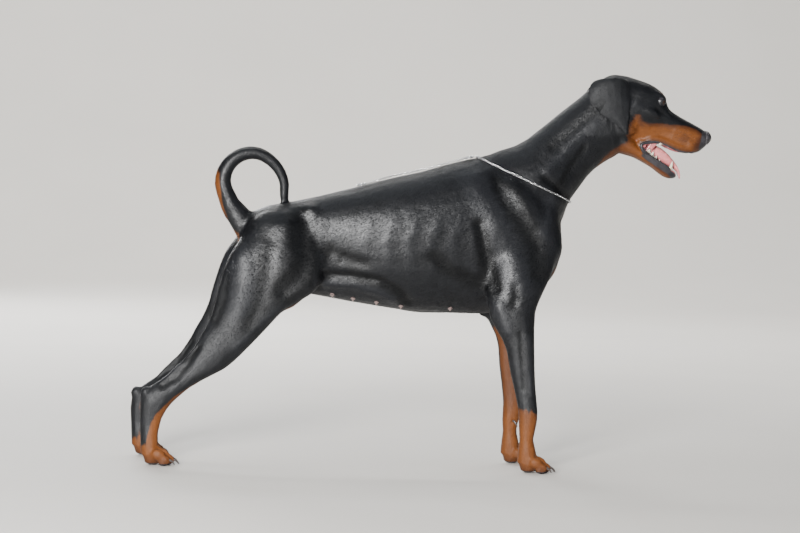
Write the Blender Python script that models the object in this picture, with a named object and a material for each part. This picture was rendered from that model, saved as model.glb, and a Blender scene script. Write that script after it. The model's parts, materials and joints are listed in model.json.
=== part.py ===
"""A doberman pinscher standing square, life size: the solids of a museum model.

The dog faces +X, its right side is -Y and its paws stand on z = 0.
"""
import math

import bmesh
import bpy
import numpy as np
from mathutils import Matrix, Vector
from mathutils.bvhtree import BVHTree

MM = 0.001
GAP = 0.35                    # clearance between neighbouring nodes, mm
SIDES = (("right", -1), ("left", 1))

# The bridge of the nose is the head's own axis: s runs forward from the stop, t up from it.
STOP = (518.0, 785.0)
HEAD_PITCH = math.radians(-30.5)

# Feet, in the outline of the right side; the left pair stands a little further back.
FORE_Y = 84.0
HIND_Y = 88.0
# How far the left leg stands from the right one: at the foot, at the elbow or stifle, and how
# much lower its hock is.
FORE_FAR = (-7.0, 16.0, 0.0)
HIND_FAR = (-9.0, 0.0, 17.0)

# Sections: x and z of the upper (or front) edge, x and z of the lower (or rear) edge, y of the
# middle, half width, where the width is greatest (0 lower edge, 1 upper edge), and how round
# the upper and the lower half are (2 is an ellipse, less is keeled, more is square). In mm.
TRUNK = (
    (296, 514, 296, 476, 0, 18, 0.50, 2.0, 2.0),
    (288, 556, 288, 432, 0, 50, 0.45, 2.0, 2.0),
    (266, 600, 262, 388, 0, 76, 0.50, 2.0, 2.0),
    (225, 648, 222, 352, 0, 86, 0.52, 1.8, 2.0),
    (172, 674, 172, 333, 0, 90, 0.54, 1.7, 1.9),
    (116, 664, 116, 328, 0, 92, 0.55, 1.8, 1.9),
    (58, 649, 58, 328, 0, 94, 0.56, 2.0, 2.0),
    (0, 631, 0, 327, 0, 95, 0.56, 2.1, 2.1),
    (-80, 610, -80, 335, 0, 91, 0.56, 2.2, 2.1),
    (-160, 587, -160, 346, 0, 80, 0.58, 2.3, 2.1),
    (-230, 568, -230, 357, 0, 70, 0.60, 2.3, 2.0),
    (-300, 551, -300, 366, 0, 71, 0.62, 2.2, 2.0),
    (-346, 540, -350, 384, 0, 68, 0.58, 2.0, 2.0),
    (-378, 508, -384, 398, 0, 56, 0.55, 2.0, 2.0),
    (-392, 472, -398, 424, 0, 34, 0.50, 2.0, 2.0),
)
NECK = (
    (96, 634, 258, 468, 0, 50, 0.50, 2.0, 2.0),
    (146, 675, 297, 535, 0, 70, 0.46, 1.7, 2.0),
    (196, 693, 315, 577, 0, 64, 0.47, 1.8, 2.0),
    (240, 726, 333, 603, 0, 56, 0.48, 1.9, 2.0),
    (283, 763, 354, 633, 0, 52, 0.48, 2.0, 2.1),
    (326, 798, 386, 659, 0, 50, 0.50, 2.1, 2.1),
    (352, 822, 413, 677, 0, 49, 0.52, 2.1, 2.1),
    (378, 838, 430, 700, 0, 40, 0.52, 2.0, 2.0),
)
FORELEG = (
    (280, 482, 150, 470, 66, 22, 0.50, 2.0, 2.0),
    (272, 425, 130, 420, 70, 28, 0.50, 2.0, 2.0),
    (252, 378, 128, 376, 73, 29, 0.50, 2.0, 2.0),
    (238, 346, 133, 340, 77, 29, 0.55, 2.0, 2.0),
    (235, 312, 145, 309, 79, 28, 0.58, 2.1, 2.0),
    (236, 270, 169, 271, 81, 26, 0.55, 2.2, 2.0),
    (239, 207, 185, 208, 83, 22, 0.52, 2.3, 2.1),
    (244, 158, 199, 156, 84, 19, 0.50, 2.4, 2.2),
    (248, 125, 205, 126, 84, 21, 0.50, 2.5, 2.3),
    (245, 96, 207, 94, 84, 19, 0.50, 2.4, 2.3),
    (241, 72, 209, 72, 84, 18, 0.50, 2.3, 2.2),
    (247, 46, 207, 42, 84, 21, 0.50, 2.2, 2.2),
    (250, 24, 206, 20, 84, 20, 0.50, 2.0, 2.0),
)
HINDLEG = (
    (-246, 530, -368, 500, 46, 30, 0.50, 2.0, 2.0),
    (-214, 440, -413, 448, 56, 38, 0.50, 2.0, 2.0),
    (-228, 370, -434, 386, 61, 38, 0.50, 2.1, 2.0),
    (-286, 337, -446, 336, 68, 35, 0.52, 2.1, 2.0),
    (-329, 292, -456, 304, 75, 31, 0.55, 2.1, 2.0),
    (-373, 245, -469, 280, 81, 27, 0.56, 2.1, 2.0),
    (-414, 206, -481, 256, 85, 23, 0.56, 2.1, 2.0),
    (-446, 188, -501, 228, 87, 20, 0.60, 2.1, 1.8),
    (-471, 174, -522, 209, 88, 18, 0.62, 2.1, 1.7),
    (-493, 159, -545, 185, 88, 18, 0.60, 2.1, 1.8),
    (-512, 143, -572, 166, 88, 20, 0.55, 2.2, 2.0),
    (-528, 126, -591, 146, 88, 20, 0.52, 2.3, 2.1),
    (-541, 106, -594, 114, 88, 18, 0.50, 2.3, 2.2),
    (-550, 78, -592, 80, 88, 16, 0.50, 2.3, 2.2),
    (-551, 46, -590, 46, 88, 18, 0.50, 2.2, 2.2),
    (-548, 24, -588, 20, 88, 18, 0.50, 2.0, 2.0),
)
# The head's sections: s, t of the upper edge, t of the lower edge, then as above without y.
SKULL = (
    (-158, -42, -88, 26, 0.50, 2.0, 2.0),
    (-145, -16, -108, 38, 0.55, 2.0, 2.0),
    (-120, 2, -118, 45, 0.60, 2.1, 2.0),
    (-90, 11, -122, 48, 0.62, 2.6, 2.0),
    (-60, 18, -120, 49, 0.62, 2.8, 2.0),
    (-35, 18, -116, 45, 0.64, 2.8, 2.0),
    (-22, 15, -113, 41.5, 0.64, 2.8, 2.1),
    (-9, 6, -108, 37, 0.62, 2.6, 2.3),
    (3, -2.5, -93, 34, 0.58, 2.4, 2.5),
    (26, -5, -80, 31, 0.50, 2.5, 2.8),
    (52, -3.5, -78, 29.5, 0.48, 2.6, 3.0),
    (76, -1.5, -72, 28, 0.48, 2.6, 3.0),
    (94, -1, -62, 26, 0.48, 2.5, 2.8),
    (105, -4, -53, 22, 0.46, 2.4, 2.5),
    (112, -10, -44, 16, 0.46, 2.2, 2.2),
    (115, -18, -36, 9, 0.46, 2.2, 2.2),
)
JAW = (
    (-96, -74, -131, 32, 0.50, 2.0, 2.0),
    (-62, -84, -140, 37, 0.50, 2.0, 2.0),
    (-30, -96, -142, 36, 0.50, 2.0, 2.0),
    (-6, -107, -135, 33, 0.55, 2.2, 2.2),
    (16, -111, -132.5, 30, 0.60, 2.6, 2.4),
    (42, -111, -131.5, 27.5, 0.60, 2.8, 2.4),
    (64, -110, -133.5, 25, 0.58, 2.8, 2.4),
    (80, -111, -133, 21.5, 0.56, 2.6, 2.3),
    (91, -113, -128, 15, 0.54, 2.4, 2.2),
    (97, -116, -123, 7, 0.50, 2.0, 2.0),
)
TONGUE = (
    (-22, -100, -110, 9, 0.50, 2.0, 2.0),
    (6, -89, -113, 16, 0.60, 2.4, 2.2),
    (32, -84, -114, 17, 0.66, 2.6, 2.2),
    (56, -86, -112, 15, 0.66, 2.6, 2.2),
    (74, -91, -108, 11.5, 0.60, 2.4, 2.2),
    (88, -97, -107, 14, 0.55, 2.4, 2.2),
    (99, -105, -112.5, 14, 0.50, 2.4, 2.2),
    (106, -112, -118, 10, 0.50, 2.2, 2.0),
    (109, -117, -120, 4, 0.50, 2.0, 2.0),
)
MOUTH = (
    (-22, -88, -104, 16, 0.50, 2.0, 2.0),
    (-4, -70, -118, 22, 0.60, 2.4, 2.4),
    (14, -60, -135, 24.5, 0.70, 3.0, 3.0),
    (50, -59, -140, 22.5, 0.75, 3.0, 3.0),
    (84, -55, -140, 19, 0.75, 3.0, 3.0),
    (97, -54, -140, 12, 0.75, 2.6, 2.6),
)

# The edges of the lips on one side: s, t and y from the corner of the mouth to the middle.
UPPER_LIP = ((-9, -101, 31.5), (2, -89.5, 31), (14, -81.5, 29.5), (30, -76.5, 28.5),
             (52, -74, 27.5), (70, -70.5, 26), (85, -63.5, 23), (95, -57, 18), (102, -51.5, 9),
             (103.5, -50, 0))
LOWER_LIP = ((-9, -106, 33), (4, -111.5, 31.5), (20, -113, 29.5), (42, -113, 27), (62, -112, 24),
             (78, -112, 20.5), (88, -114, 14), (94, -117, 6), (95, -117.5, 0))
LIP_R = (4.2, 3.2)
LIP_RISE = 5.5

# Muscles and bony points, on both sides: x, y, z, three radii, pitch in degrees.
LUMPS = (
    (203, 56, 540, 52, 34, 98, -36),
    (196, 70, 424, 66, 28, 64, -20),
    (259, 50, 482, 32, 32, 42, -20),
    (276, 20, 486, 22, 20, 46, 0),
    (146, 80, 329, 13, 12, 17, -20),
    (118, 40, 566, 60, 34, 74, -10),
    (-312, 42, 476, 72, 38, 64, 0),
    (-322, 58, 398, 82, 38, 74, 30),
    (-378, 34, 464, 18, 20, 26, 0),
    (-352, 8, 514, 27, 18, 23, -10),
    (-246, 40, 530, 30, 26, 26, 0),
    (-392, 76, 310, 38, 27, 52, -40),
    (-583, 88, 152, 11, 13, 14, 20),
)
TEATS = ((60, 30), (-46, 32), (-98, 32), (-148, 30), (-192, 27))

EYE = (-25.0, -4.5, 29.0)     # s, t and y of the middle
EYE_R = 11.8
LID = 2.0
EYE_TURN = math.radians(37)   # outward from the head's axis
EYE_OPEN = (10.8, 7.2)

# The ear: x of the front and of the back edge, y, z, from the root over the fold to the tip.
EAR = (
    (412, 356, 37, 798),
    (420, 347, 45, 824),
    (420, 350, 52, 839),
    (423, 340, 57.5, 831),
    (425, 332, 60, 806),
    (425, 340, 60, 783),
    (425, 357, 59, 767),
    (424, 376, 57.5, 753),
    (424, 395, 56, 741),
    (423, 411, 55, 728),
    (422, 419, 54.5, 720),
)
EAR_THICK = 4.0
EAR_FAR = (13.0, -9.0)        # the left ear hangs this much further forward and lower

# The tail: x, z and radius down to its root, then the ring's middle, its radius, and the
# tail's radius where the ring starts and at the tip.
TAIL_ROOT = ((-346, 456, 36), (-369, 488, 35), (-392, 517, 29.5), (-413, 546, 22))
RING = (-363.0, 588.0)
RING_R = 66.0
TAIL_R = (19.2, 9.8)

TOES = ((-21.0, 0.0), (-7.4, 10.5), (7.4, 10.5), (21.0, 0.0))    # across and ahead
PAW_CUT = 56.0                # the paws end at this height
CHAIN_TOP = (92.0, 664.0)
CHAIN_LOW = (309.0, 574.0)
CHAIN_WIDE = 5.0
CHAIN_THICK = 3.4
CHAIN_END = 205.0
LINK_RING = 9.0

COATS = {
    "coat": (0.012, 0.012, 0.014, 0.35),
    "tan": (0.33, 0.12, 0.035, 0.5),
    "nose": (0.02, 0.02, 0.022, 0.4),
    "tongue": (0.65, 0.25, 0.25, 0.35),
    "eye": (0.05, 0.02, 0.01, 0.1),
    "claw": (0.03, 0.025, 0.02, 0.4),
    "steel": (0.6, 0.6, 0.62, 0.25),
}


def clear_scene():
    for thing in list(bpy.data.objects):
        bpy.data.objects.remove(thing, do_unlink=True)


def paint(body, coat):
    """Gives the node a material of its own."""
    red, green, blue, rough = COATS[coat]
    material = bpy.data.materials.new(body.name)
    material.use_nodes = True
    shader = material.node_tree.nodes["Principled BSDF"]
    shader.inputs["Base Color"].default_value = (red, green, blue, 1)
    shader.inputs["Roughness"].default_value = rough
    shader.inputs["Metallic"].default_value = 1.0 if coat == "steel" else 0.0
    body.data.materials.clear()
    body.data.materials.append(material)


def head_point(s, t):
    """x and z of a point given along the head's axes, in mm."""
    c, k = math.cos(HEAD_PITCH), math.sin(HEAD_PITCH)
    return STOP[0] + s * c - t * k, STOP[1] + s * k + t * c


def head_spot(s, t, y):
    x, z = head_point(s, t)
    return Vector((x, y, z))


def head_rows(rows, y=0.0, drift=0.0):
    """Sections of the head as sections of the body."""
    out = []
    for s, high, low, half, wide, top, bottom in rows:
        lean = y + drift * max(0.0, s) / 100
        out.append(head_point(s, high) + head_point(s, low) + (lean, half, wide, top, bottom))
    return out


def between(rows, per):
    """The sections with others between them, on a smooth curve."""
    rows = np.array(rows, float)
    middle = 0.5 * (rows[:, 0:2] + rows[:, 2:4])
    steps = np.linalg.norm(np.diff(middle, axis=0), axis=1)
    along = np.concatenate(([0.0], np.cumsum(steps)))
    slope = np.gradient(rows, along, axis=0)
    out = []
    for i in range(len(rows) - 1):
        reach = along[i + 1] - along[i]
        for k in range(per):
            u = k / per
            a = 2 * u ** 3 - 3 * u ** 2 + 1
            b = u ** 3 - 2 * u ** 2 + u
            c = -2 * u ** 3 + 3 * u ** 2
            d = u ** 3 - u ** 2
            out.append(a * rows[i] + b * reach * slope[i] + c * rows[i + 1]
                       + d * reach * slope[i + 1])
    out.append(rows[-1])
    return out


def section(row, count):
    """The points of one section, in mm."""
    high, low = np.array(row[0:2]), np.array(row[2:4])
    y, half, wide, top, bottom = row[4:9]
    middle = low + wide * (high - low)
    out = []
    for k in range(count):
        angle = 2 * math.pi * k / count
        c, s = math.cos(angle), math.sin(angle)
        power = 2 / (top if s > 0 else bottom)
        edge = high if s > 0 else low
        spot = middle + abs(s) ** power * (edge - middle)
        out.append((spot[0], y + math.copysign(abs(c) ** power, c) * half, spot[1]))
    return out


def skin_rings(mesh, rings):
    """Joins rings of points into one closed surface."""
    rows = [[mesh.verts.new(spot) for spot in ring] for ring in rings]
    count = len(rows[0])
    for a, b in zip(rows, rows[1:]):
        for k in range(count):
            n = (k + 1) % count
            mesh.faces.new((a[k], a[n], b[n], b[k]))
    mesh.faces.new(rows[0][::-1])
    mesh.faces.new(rows[-1])


def tube(mesh, rows, per=4, count=28):
    skin_rings(mesh, [section(row, count) for row in between(rows, per)])


def lump(mesh, centre, radii, pitch=0.0, yaw=0.0, detail=3):
    """An ellipsoid; the pitch turns it about Y and the yaw about Z, in degrees."""
    turn = Matrix.Rotation(math.radians(yaw), 4, "Z") @ Matrix.Rotation(math.radians(pitch), 4, "Y")
    size = Matrix.Diagonal((*radii, 1.0))
    place = Matrix.Translation(centre) @ turn @ size
    bmesh.ops.create_icosphere(mesh, subdivisions=detail, radius=1.0, matrix=place)


def sweep_rings(points, sizes, up, count, power=2.0):
    """Rings along a path: the sizes are half widths across and along the up direction."""
    points = [Vector(p) for p in points]
    rings = []
    for i, spot in enumerate(points):
        ahead = points[min(i + 1, len(points) - 1)] - points[max(i - 1, 0)]
        ahead.normalize()
        lift = Vector(up[i] if isinstance(up, list) else up)
        across = ahead.cross(lift).normalized()
        lift = across.cross(ahead).normalized()
        wide, high = sizes[i]
        ring = []
        for k in range(count):
            angle = 2 * math.pi * (k + 0.5) / count
            c, s = math.cos(angle), math.sin(angle)
            c = math.copysign(abs(c) ** (2 / power), c)
            s = math.copysign(abs(s) ** (2 / power), s)
            ring.append(spot + across * wide * c + lift * high * s)
        rings.append(ring)
    return rings


def shape(name, mesh):
    """An object, in metres, from a mesh drawn in mm; its faces look outward."""
    bmesh.ops.scale(mesh, vec=(MM, MM, MM), verts=mesh.verts)
    bmesh.ops.recalc_face_normals(mesh, faces=mesh.faces)
    data = bpy.data.meshes.new(name)
    mesh.to_mesh(data)
    mesh.free()
    body = bpy.data.objects.new(name, data)
    bpy.context.scene.collection.objects.link(body)
    return body


def bake(body):
    """Puts the result of the modifiers in place of the mesh."""
    bpy.context.view_layer.update()
    graph = bpy.context.evaluated_depsgraph_get()
    result = bpy.data.meshes.new_from_object(body.evaluated_get(graph))
    body.modifiers.clear()
    old = body.data
    body.data = result
    bpy.data.meshes.remove(old)
    return body


def melt(body, voxel, rounds):
    """Joins overlapping shells into one skin and smooths it."""
    step = body.modifiers.new("melt", "REMESH")
    step.mode = "VOXEL"
    step.voxel_size = voxel * MM
    soft = body.modifiers.new("soft", "SMOOTH")
    soft.factor = 0.5
    soft.iterations = rounds
    return bake(body)


def thin(body, triangles):
    """Brings the mesh down to about this many triangles."""
    data = body.data
    data.calc_loop_triangles()
    step = body.modifiers.new("thin", "DECIMATE")
    step.ratio = min(1.0, triangles / len(data.loop_triangles))
    step.use_collapse_triangulate = True
    bake(body)
    return tidy(body)


def tidy(body):
    """Keeps the largest closed surface, as triangles, without slivers."""
    mesh = bmesh.new()
    mesh.from_mesh(body.data)
    bmesh.ops.remove_doubles(mesh, verts=mesh.verts, dist=0.00002)
    bmesh.ops.dissolve_degenerate(mesh, edges=mesh.edges, dist=0.00002)
    bmesh.ops.triangulate(mesh, faces=mesh.faces)
    mesh.faces.ensure_lookup_table()
    left = set(mesh.faces)
    groups = []
    while left:
        queue = [left.pop()]
        group = set(queue)
        while queue:
            face = queue.pop()
            for edge in face.edges:
                for other in edge.link_faces:
                    if other in left:
                        left.discard(other)
                        group.add(other)
                        queue.append(other)
        groups.append(group)
    groups.sort(key=lambda g: sum(f.calc_area() for f in g))
    spare = [face for group in groups[:-1] for face in group]
    if spare:
        bmesh.ops.delete(mesh, geom=spare, context="FACES")
    loose = [v for v in mesh.verts if not v.link_faces]
    bmesh.ops.delete(mesh, geom=loose, context="VERTS")
    bmesh.ops.recalc_face_normals(mesh, faces=mesh.faces)
    mesh.to_mesh(body.data)
    mesh.free()
    return body


def copy_of(body, name):
    twin = body.copy()
    twin.data = body.data.copy()
    twin.name = name
    twin.data.name = name
    bpy.context.scene.collection.objects.link(twin)
    return twin


def carve(body, tools, kind="DIFFERENCE"):
    """Cuts or joins the body with each of the tools."""
    for tool in tools:
        step = body.modifiers.new("carve", "BOOLEAN")
        step.operation = kind
        step.solver = "EXACT"
        step.object = tool
        bake(body)
    return tidy(body)


def gather(body, pieces):
    """Joins the pieces to the body with one union on a collection."""
    group = bpy.data.collections.new(body.name + "_pieces")
    bpy.context.scene.collection.children.link(group)
    for piece in pieces:
        group.objects.link(piece)
    step = body.modifiers.new("gather", "BOOLEAN")
    step.operation = "UNION"
    step.solver = "EXACT"
    step.operand_type = "COLLECTION"
    step.collection = group
    bake(body)
    bpy.data.collections.remove(group)
    drop(pieces)
    return tidy(body)


def drop(bodies):
    for body in bodies:
        bpy.data.objects.remove(body, do_unlink=True)


def grown(body, amount, name="grown"):
    """A copy whose surface lies this many mm further out."""
    twin = copy_of(body, name)
    mesh = bmesh.new()
    mesh.from_mesh(twin.data)
    mesh.normal_update()
    for vert in mesh.verts:
        vert.co += vert.normal * amount * MM
    mesh.to_mesh(twin.data)
    mesh.free()
    return twin


def prism(name, corners, low, high):
    """A block with these corners in the side view, from y = low to y = high."""
    mesh = bmesh.new()
    rings = [[(x, y, z) for x, z in corners] for y in (low, high)]
    skin_rings(mesh, rings)
    return shape(name, mesh)


def toward(a, b, shift):
    """The line from a to b moved by shift to its left, as two points."""
    dx, dz = b[0] - a[0], b[1] - a[1]
    size = math.hypot(dx, dz)
    nx, nz = -dz / size * shift, dx / size * shift
    return (a[0] + nx, a[1] + nz), (b[0] + nx, b[1] + nz)


def moved_rows(rows, side, far):
    """Leg sections for one side."""
    out = []
    for row in rows:
        row = list(row)
        if side > 0:
            foot, joint, sink = far
            for k in (0, 2):
                z = row[k + 1]
                row[k] += foot + (joint - foot) * min(1.0, max(0.0, (z - 100) / 230))
                row[k + 1] -= sink * max(0.0, 1 - abs((z - 165) / 125)) ** 0.7
        row[4] *= side
        out.append(row)
    return out


def ease(body, low, high, rounds):
    """Smooths the body more and more from one height to another, in mm."""
    group = body.vertex_groups.new(name="ease")
    for vert in body.data.vertices:
        weight = (vert.co.z / MM - low) / (high - low)
        group.add([vert.index], min(1.0, max(0.0, weight)), "REPLACE")
    step = body.modifiers.new("ease", "SMOOTH")
    step.factor = 0.5
    step.iterations = rounds
    step.vertex_group = "ease"
    bake(body)
    body.vertex_groups.clear()
    return body


def build_body():
    """Trunk, neck and the four legs as one skin."""
    mesh = bmesh.new()
    tube(mesh, TRUNK)
    tube(mesh, NECK)
    for name, side in SIDES:
        tube(mesh, moved_rows(FORELEG, side, FORE_FAR))
        tube(mesh, moved_rows(HINDLEG, side, HIND_FAR))
        for x, y, z, rx, ry, rz, pitch in LUMPS:
            if side > 0 and z < 200:
                x += HIND_FAR[0]
                z -= HIND_FAR[2]
            lump(mesh, (x, side * y, z), (rx, ry, rz), pitch)
    return ease(melt(shape("body", mesh), 3.5, 6), 230, 340, 44)


def add_body(mesh, body):
    """Takes a finished body back into a mesh drawn in mm."""
    mesh.from_mesh(body.data)
    bmesh.ops.scale(mesh, vec=(1 / MM, 1 / MM, 1 / MM), verts=mesh.verts)
    drop([body])


def add_lip(mesh, line, radius, rise=0.0):
    """A rounded edge along a lip, over both sides, drawn up into the cheek by the rise."""
    points = [head_spot(s, t + rise, y) for s, t, y in line]
    points += [head_spot(s, t + rise, -y) for s, t, y in reversed(line[:-1])]
    sizes = [(radius, radius + rise)] * len(points)
    for k, share in ((0, 0.3), (1, 0.8), (-2, 0.8), (-1, 0.3)):
        sizes[k] = (radius * share, (radius + rise) * share)
    skin_rings(mesh, sweep_rings(points, sizes, (0.5, 0, 0.86), 10))


def build_head():
    """Skull, upper jaw and throat, with the lids and the upper lip."""
    mesh = bmesh.new()
    tube(mesh, head_rows(SKULL))
    tube(mesh, head_rows(JAW))
    tube(mesh, NECK[4:])
    for name, side in SIDES:
        lump(mesh, head_spot(-50, -38, side * 33), (42, 16, 15), 24, side * 8)
        lump(mesh, head_spot(-68, -86, side * 32), (34, 18, 30), 30)
        lump(mesh, head_spot(-30, 5, side * 23), (18, 14, 9), 30)
        lump(mesh, head_spot(80, -46, side * 15), (22, 14, 20), 30)
        lump(mesh, head_spot(-4, -26, side * 24), (26, 11, 16), 30)
    core = melt(shape("core", mesh), 2.4, 7)
    mesh = bmesh.new()
    add_body(mesh, core)
    for name, side in SIDES:
        lump(mesh, head_spot(*EYE[:2], side * EYE[2]), [EYE_R + LID] * 3)
    add_lip(mesh, UPPER_LIP, LIP_R[0], LIP_RISE)
    return melt(shape("head", mesh), 1.9, 3)


def build_jaw():
    mesh = bmesh.new()
    tube(mesh, head_rows(JAW[2:]))
    add_lip(mesh, LOWER_LIP, LIP_R[1])
    return melt(shape("lower_jaw", mesh), 2.0, 3)


def tooth(spot, tip, wide, count=5):
    """A pointed tooth from a spot in the gum to its tip."""
    mesh = bmesh.new()
    points = [spot + (tip - spot) * u for u in (0.0, 0.6, 1.0)]
    sizes = [(wide * k, wide * k) for k in (1.0, 0.85, 0.15)]
    skin_rings(mesh, sweep_rings(points, sizes, (0.3, 1, 0.2), count))
    return shape("tooth", mesh)


def lower_teeth():
    out = []
    for name, side in SIDES:
        for k, (s, high, wide) in enumerate(((3, -99, 4.4), (13, -96, 5.4), (24, -101, 4.2),
                                             (35, -103, 3.6))):
            y = side * (23.5 - 0.10 * s)
            out.append(tooth(head_spot(s, -116, y), head_spot(s, high, y), wide))
        base = head_spot(74, -119, side * 16.5)
        out.append(tooth(base, head_spot(76, -96, side * 18), 4.4))
        for k in range(2):
            y = side * (2.6 + 5.0 * k)
            s = 87.5 - 1.8 * k
            out.append(tooth(head_spot(s, -119, y), head_spot(s + 0.5, -109, y), 2.3))
    return out


def upper_teeth():
    out = []
    for name, side in SIDES:
        for s, low, wide in ((12, -86, 4.6), (26, -83, 5.6), (44, -71, 4.2)):
            y = side * (25.0 - 0.07 * s)
            out.append(tooth(head_spot(s, -56, y), head_spot(s, low, y), wide))
        out.append(tooth(head_spot(86, -48, side * 17.5), head_spot(88, -67, side * 18), 4.2))
        for k in range(2):
            y = side * (3.0 + 5.6 * k)
            out.append(tooth(head_spot(97 - k, -46, y), head_spot(97 - k, -58, y), 2.6))
    return out


def eye_axis(side):
    """Where the eye looks."""
    ahead = Vector((math.cos(HEAD_PITCH), 0, math.sin(HEAD_PITCH)))
    look = ahead * math.cos(EYE_TURN) + Vector((0, side, 0)) * math.sin(EYE_TURN)
    up = Vector((-math.sin(HEAD_PITCH), 0, math.cos(HEAD_PITCH)))
    return (look + up * 0.10).normalized(), up


def eye_tools(side):
    """The ball's socket and the almond opening between the lids."""
    centre = head_spot(*EYE[:2], side * EYE[2])
    mesh = bmesh.new()
    lump(mesh, centre, [EYE_R + GAP] * 3)
    socket = shape("socket", mesh)
    look, up = eye_axis(side)
    across = look.cross(up).normalized() * side
    rise = across.cross(look).normalized() * side
    across = (across * math.cos(0.16) + rise * math.sin(-0.16)).normalized()
    rise = (rise - across * rise.dot(across)).normalized()
    count = 20
    rings = []
    for reach, grow in ((4.0, 0.75), (11.0, 1.0), (20.0, 1.6)):
        ring = []
        for k in range(count):
            angle = 2 * math.pi * k / count
            c = math.cos(angle)
            s = math.copysign(abs(math.sin(angle)) ** 1.25, math.sin(angle))
            ring.append(centre + look * reach + across * EYE_OPEN[0] * grow * c
                        + rise * EYE_OPEN[1] * grow * s)
        rings.append(ring)
    mesh = bmesh.new()
    skin_rings(mesh, rings)
    return [socket, shape("opening", mesh)]


def build_eye(name, side):
    mesh = bmesh.new()
    lump(mesh, head_spot(*EYE[:2], side * EYE[2]), [EYE_R] * 3, detail=2)
    return shape("eye_" + name, mesh)


def nose_mesh(grow):
    mesh = bmesh.new()
    lump(mesh, head_spot(104, -15.5, 0), (14.5 + grow, 19.0 + grow, 15.5 + grow), 30)
    for side in (-1, 1):
        lump(mesh, head_spot(105, -19, side * 10.5), (10 + grow, 8.5 + grow, 11 + grow), 30)
    return mesh


def build_nose():
    nose = melt(shape("nose", nose_mesh(0.0)), 1.2, 5)
    thin(nose, 260)
    tools = []
    for side in (-1, 1):
        mesh = bmesh.new()
        lump(mesh, head_spot(117, -16, side * 8.0), (7.5, 4.2, 4.2), 30, side * 28, detail=2)
        lump(mesh, head_spot(113, -20, side * 14.0), (7.0, 4.4, 2.2), 30, side * 45, detail=2)
        tools.append(melt(shape("nostril", mesh), 1.0, 2))
        thin(tools[-1], 80)
    carve(nose, tools)
    drop(tools)
    back = head_block(-200, 100.5, -200, 200)
    carve(nose, [back])
    drop([back])
    return nose


def head_block(s_low, s_high, t_low, t_high, half=150):
    corners = [head_point(s, t) for s, t in ((s_low, t_low), (s_high, t_low),
                                             (s_high, t_high), (s_low, t_high))]
    return prism("block", corners, -half, half)


def build_ear(name, side):
    """The folded flap, its root in the side of the skull."""
    rows = np.array(EAR, float)
    if side > 0:
        rows += np.array((EAR_FAR[0], EAR_FAR[0], 0, EAR_FAR[1]))
    steps = np.linalg.norm(np.diff(rows[:, 1:], axis=0), axis=1)
    along = np.concatenate(([0.0], np.cumsum(steps)))
    slope = np.gradient(rows, along, axis=0)
    fine = []
    for i in range(len(rows) - 1):
        reach = along[i + 1] - along[i]
        for k in range(2):
            u = k / 2
            fine.append((2 * u ** 3 - 3 * u ** 2 + 1) * rows[i]
                        + (u ** 3 - 2 * u ** 2 + u) * reach * slope[i]
                        + (3 * u ** 2 - 2 * u ** 3) * rows[i + 1]
                        + (u ** 3 - u ** 2) * reach * slope[i + 1])
    fine.append(rows[-1])
    mesh = bmesh.new()
    columns = 9
    grid = []
    for i, (front, back, y, z) in enumerate(fine):
        down = i / (len(fine) - 1)
        line = []
        for k in range(columns):
            u = k / (columns - 1)
            belly = math.sin(math.pi * u)
            cup = 7.0 * belly * (1 - 0.5 * down)
            curl = 9.0 * max(0.0, 1 - 5 * u) * max(0.0, 1 - 1.6 * down)
            wrap = 15.0 * abs(2 * u - 1) ** 3 * max(0.0, 1 - 1.5 * down)
            droop = 4.0 * (u - 0.4) * (1 - down) + 7.0 * abs(2 * u - 1) ** 3 * max(0, 1 - 2 * down)
            line.append(mesh.verts.new((front + (back - front) * u,
                                        side * (y + cup - 4 - curl - wrap), z - droop)))
        grid.append(line)
    for a, b in zip(grid, grid[1:]):
        for k in range(columns - 1):
            mesh.faces.new((a[k], a[k + 1], b[k + 1], b[k]))
    ear = shape("ear_" + name, mesh)
    step = ear.modifiers.new("thick", "SOLIDIFY")
    step.thickness = EAR_THICK * MM
    step.offset = 0.0
    step.use_even_offset = True
    bake(ear)
    return melt(ear, 1.8, 3)


def paw_mesh(side, x, y, hind):
    """Pad, knuckles and toes; x is the back of the heel."""
    mesh = bmesh.new()
    lump(mesh, (x + 26, side * y, 22), (24, 22, 22))
    lump(mesh, (x + 23, side * y, 10), (18, 18, 11.5))
    for across, ahead in TOES:
        ty = side * y + across
        tx = x + ahead - (2 if hind else 0)
        lump(mesh, (tx + 36, ty, 23), (16, 8.4, 13), 28)
        lump(mesh, (tx + 50, ty, 13), (12.5, 8.2, 10.8), 14)
        lump(mesh, (tx + 46, ty, 7.0), (11.5, 7.0, 8.2))
    return mesh


def claw_path(side, x, y, k, hind):
    """Middle line of a claw and its radii."""
    across, ahead = TOES[k]
    x0 = x + 57 + ahead - (2 if hind else 0)
    y0 = side * y + across
    points = [(x0 - 3, y0, 13.5), (x0 + 3, y0, 13.2), (x0 + 8, y0, 10.6), (x0 + 11.5, y0, 6.4),
              (x0 + 13, y0, 3.2)]
    radii = [3.3, 3.3, 2.7, 1.7, 0.7]
    return points, radii


def dew_path(side, shift):
    x, y, z = 232 + shift, side * (FORE_Y - 20.5), 92
    points = [(x - 4, y + side * 4, z + 3), (x, y, z), (x + 4, y - side * 1.5, z - 5),
              (x + 6, y - side * 1.0, z - 11)]
    return points, [3.0, 3.2, 2.4, 0.7]


def claw(name, points, radii, grow=0.0):
    points = [Vector(p) for p in points]
    if grow:
        points[0] = points[0] + (points[0] - points[1]).normalized() * grow
    sizes = [((r + grow) * 0.85, r + grow) for r in radii]
    mesh = bmesh.new()
    skin_rings(mesh, sweep_rings(points, sizes, (0, 0, 1), 6))
    return shape(name, mesh)


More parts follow.
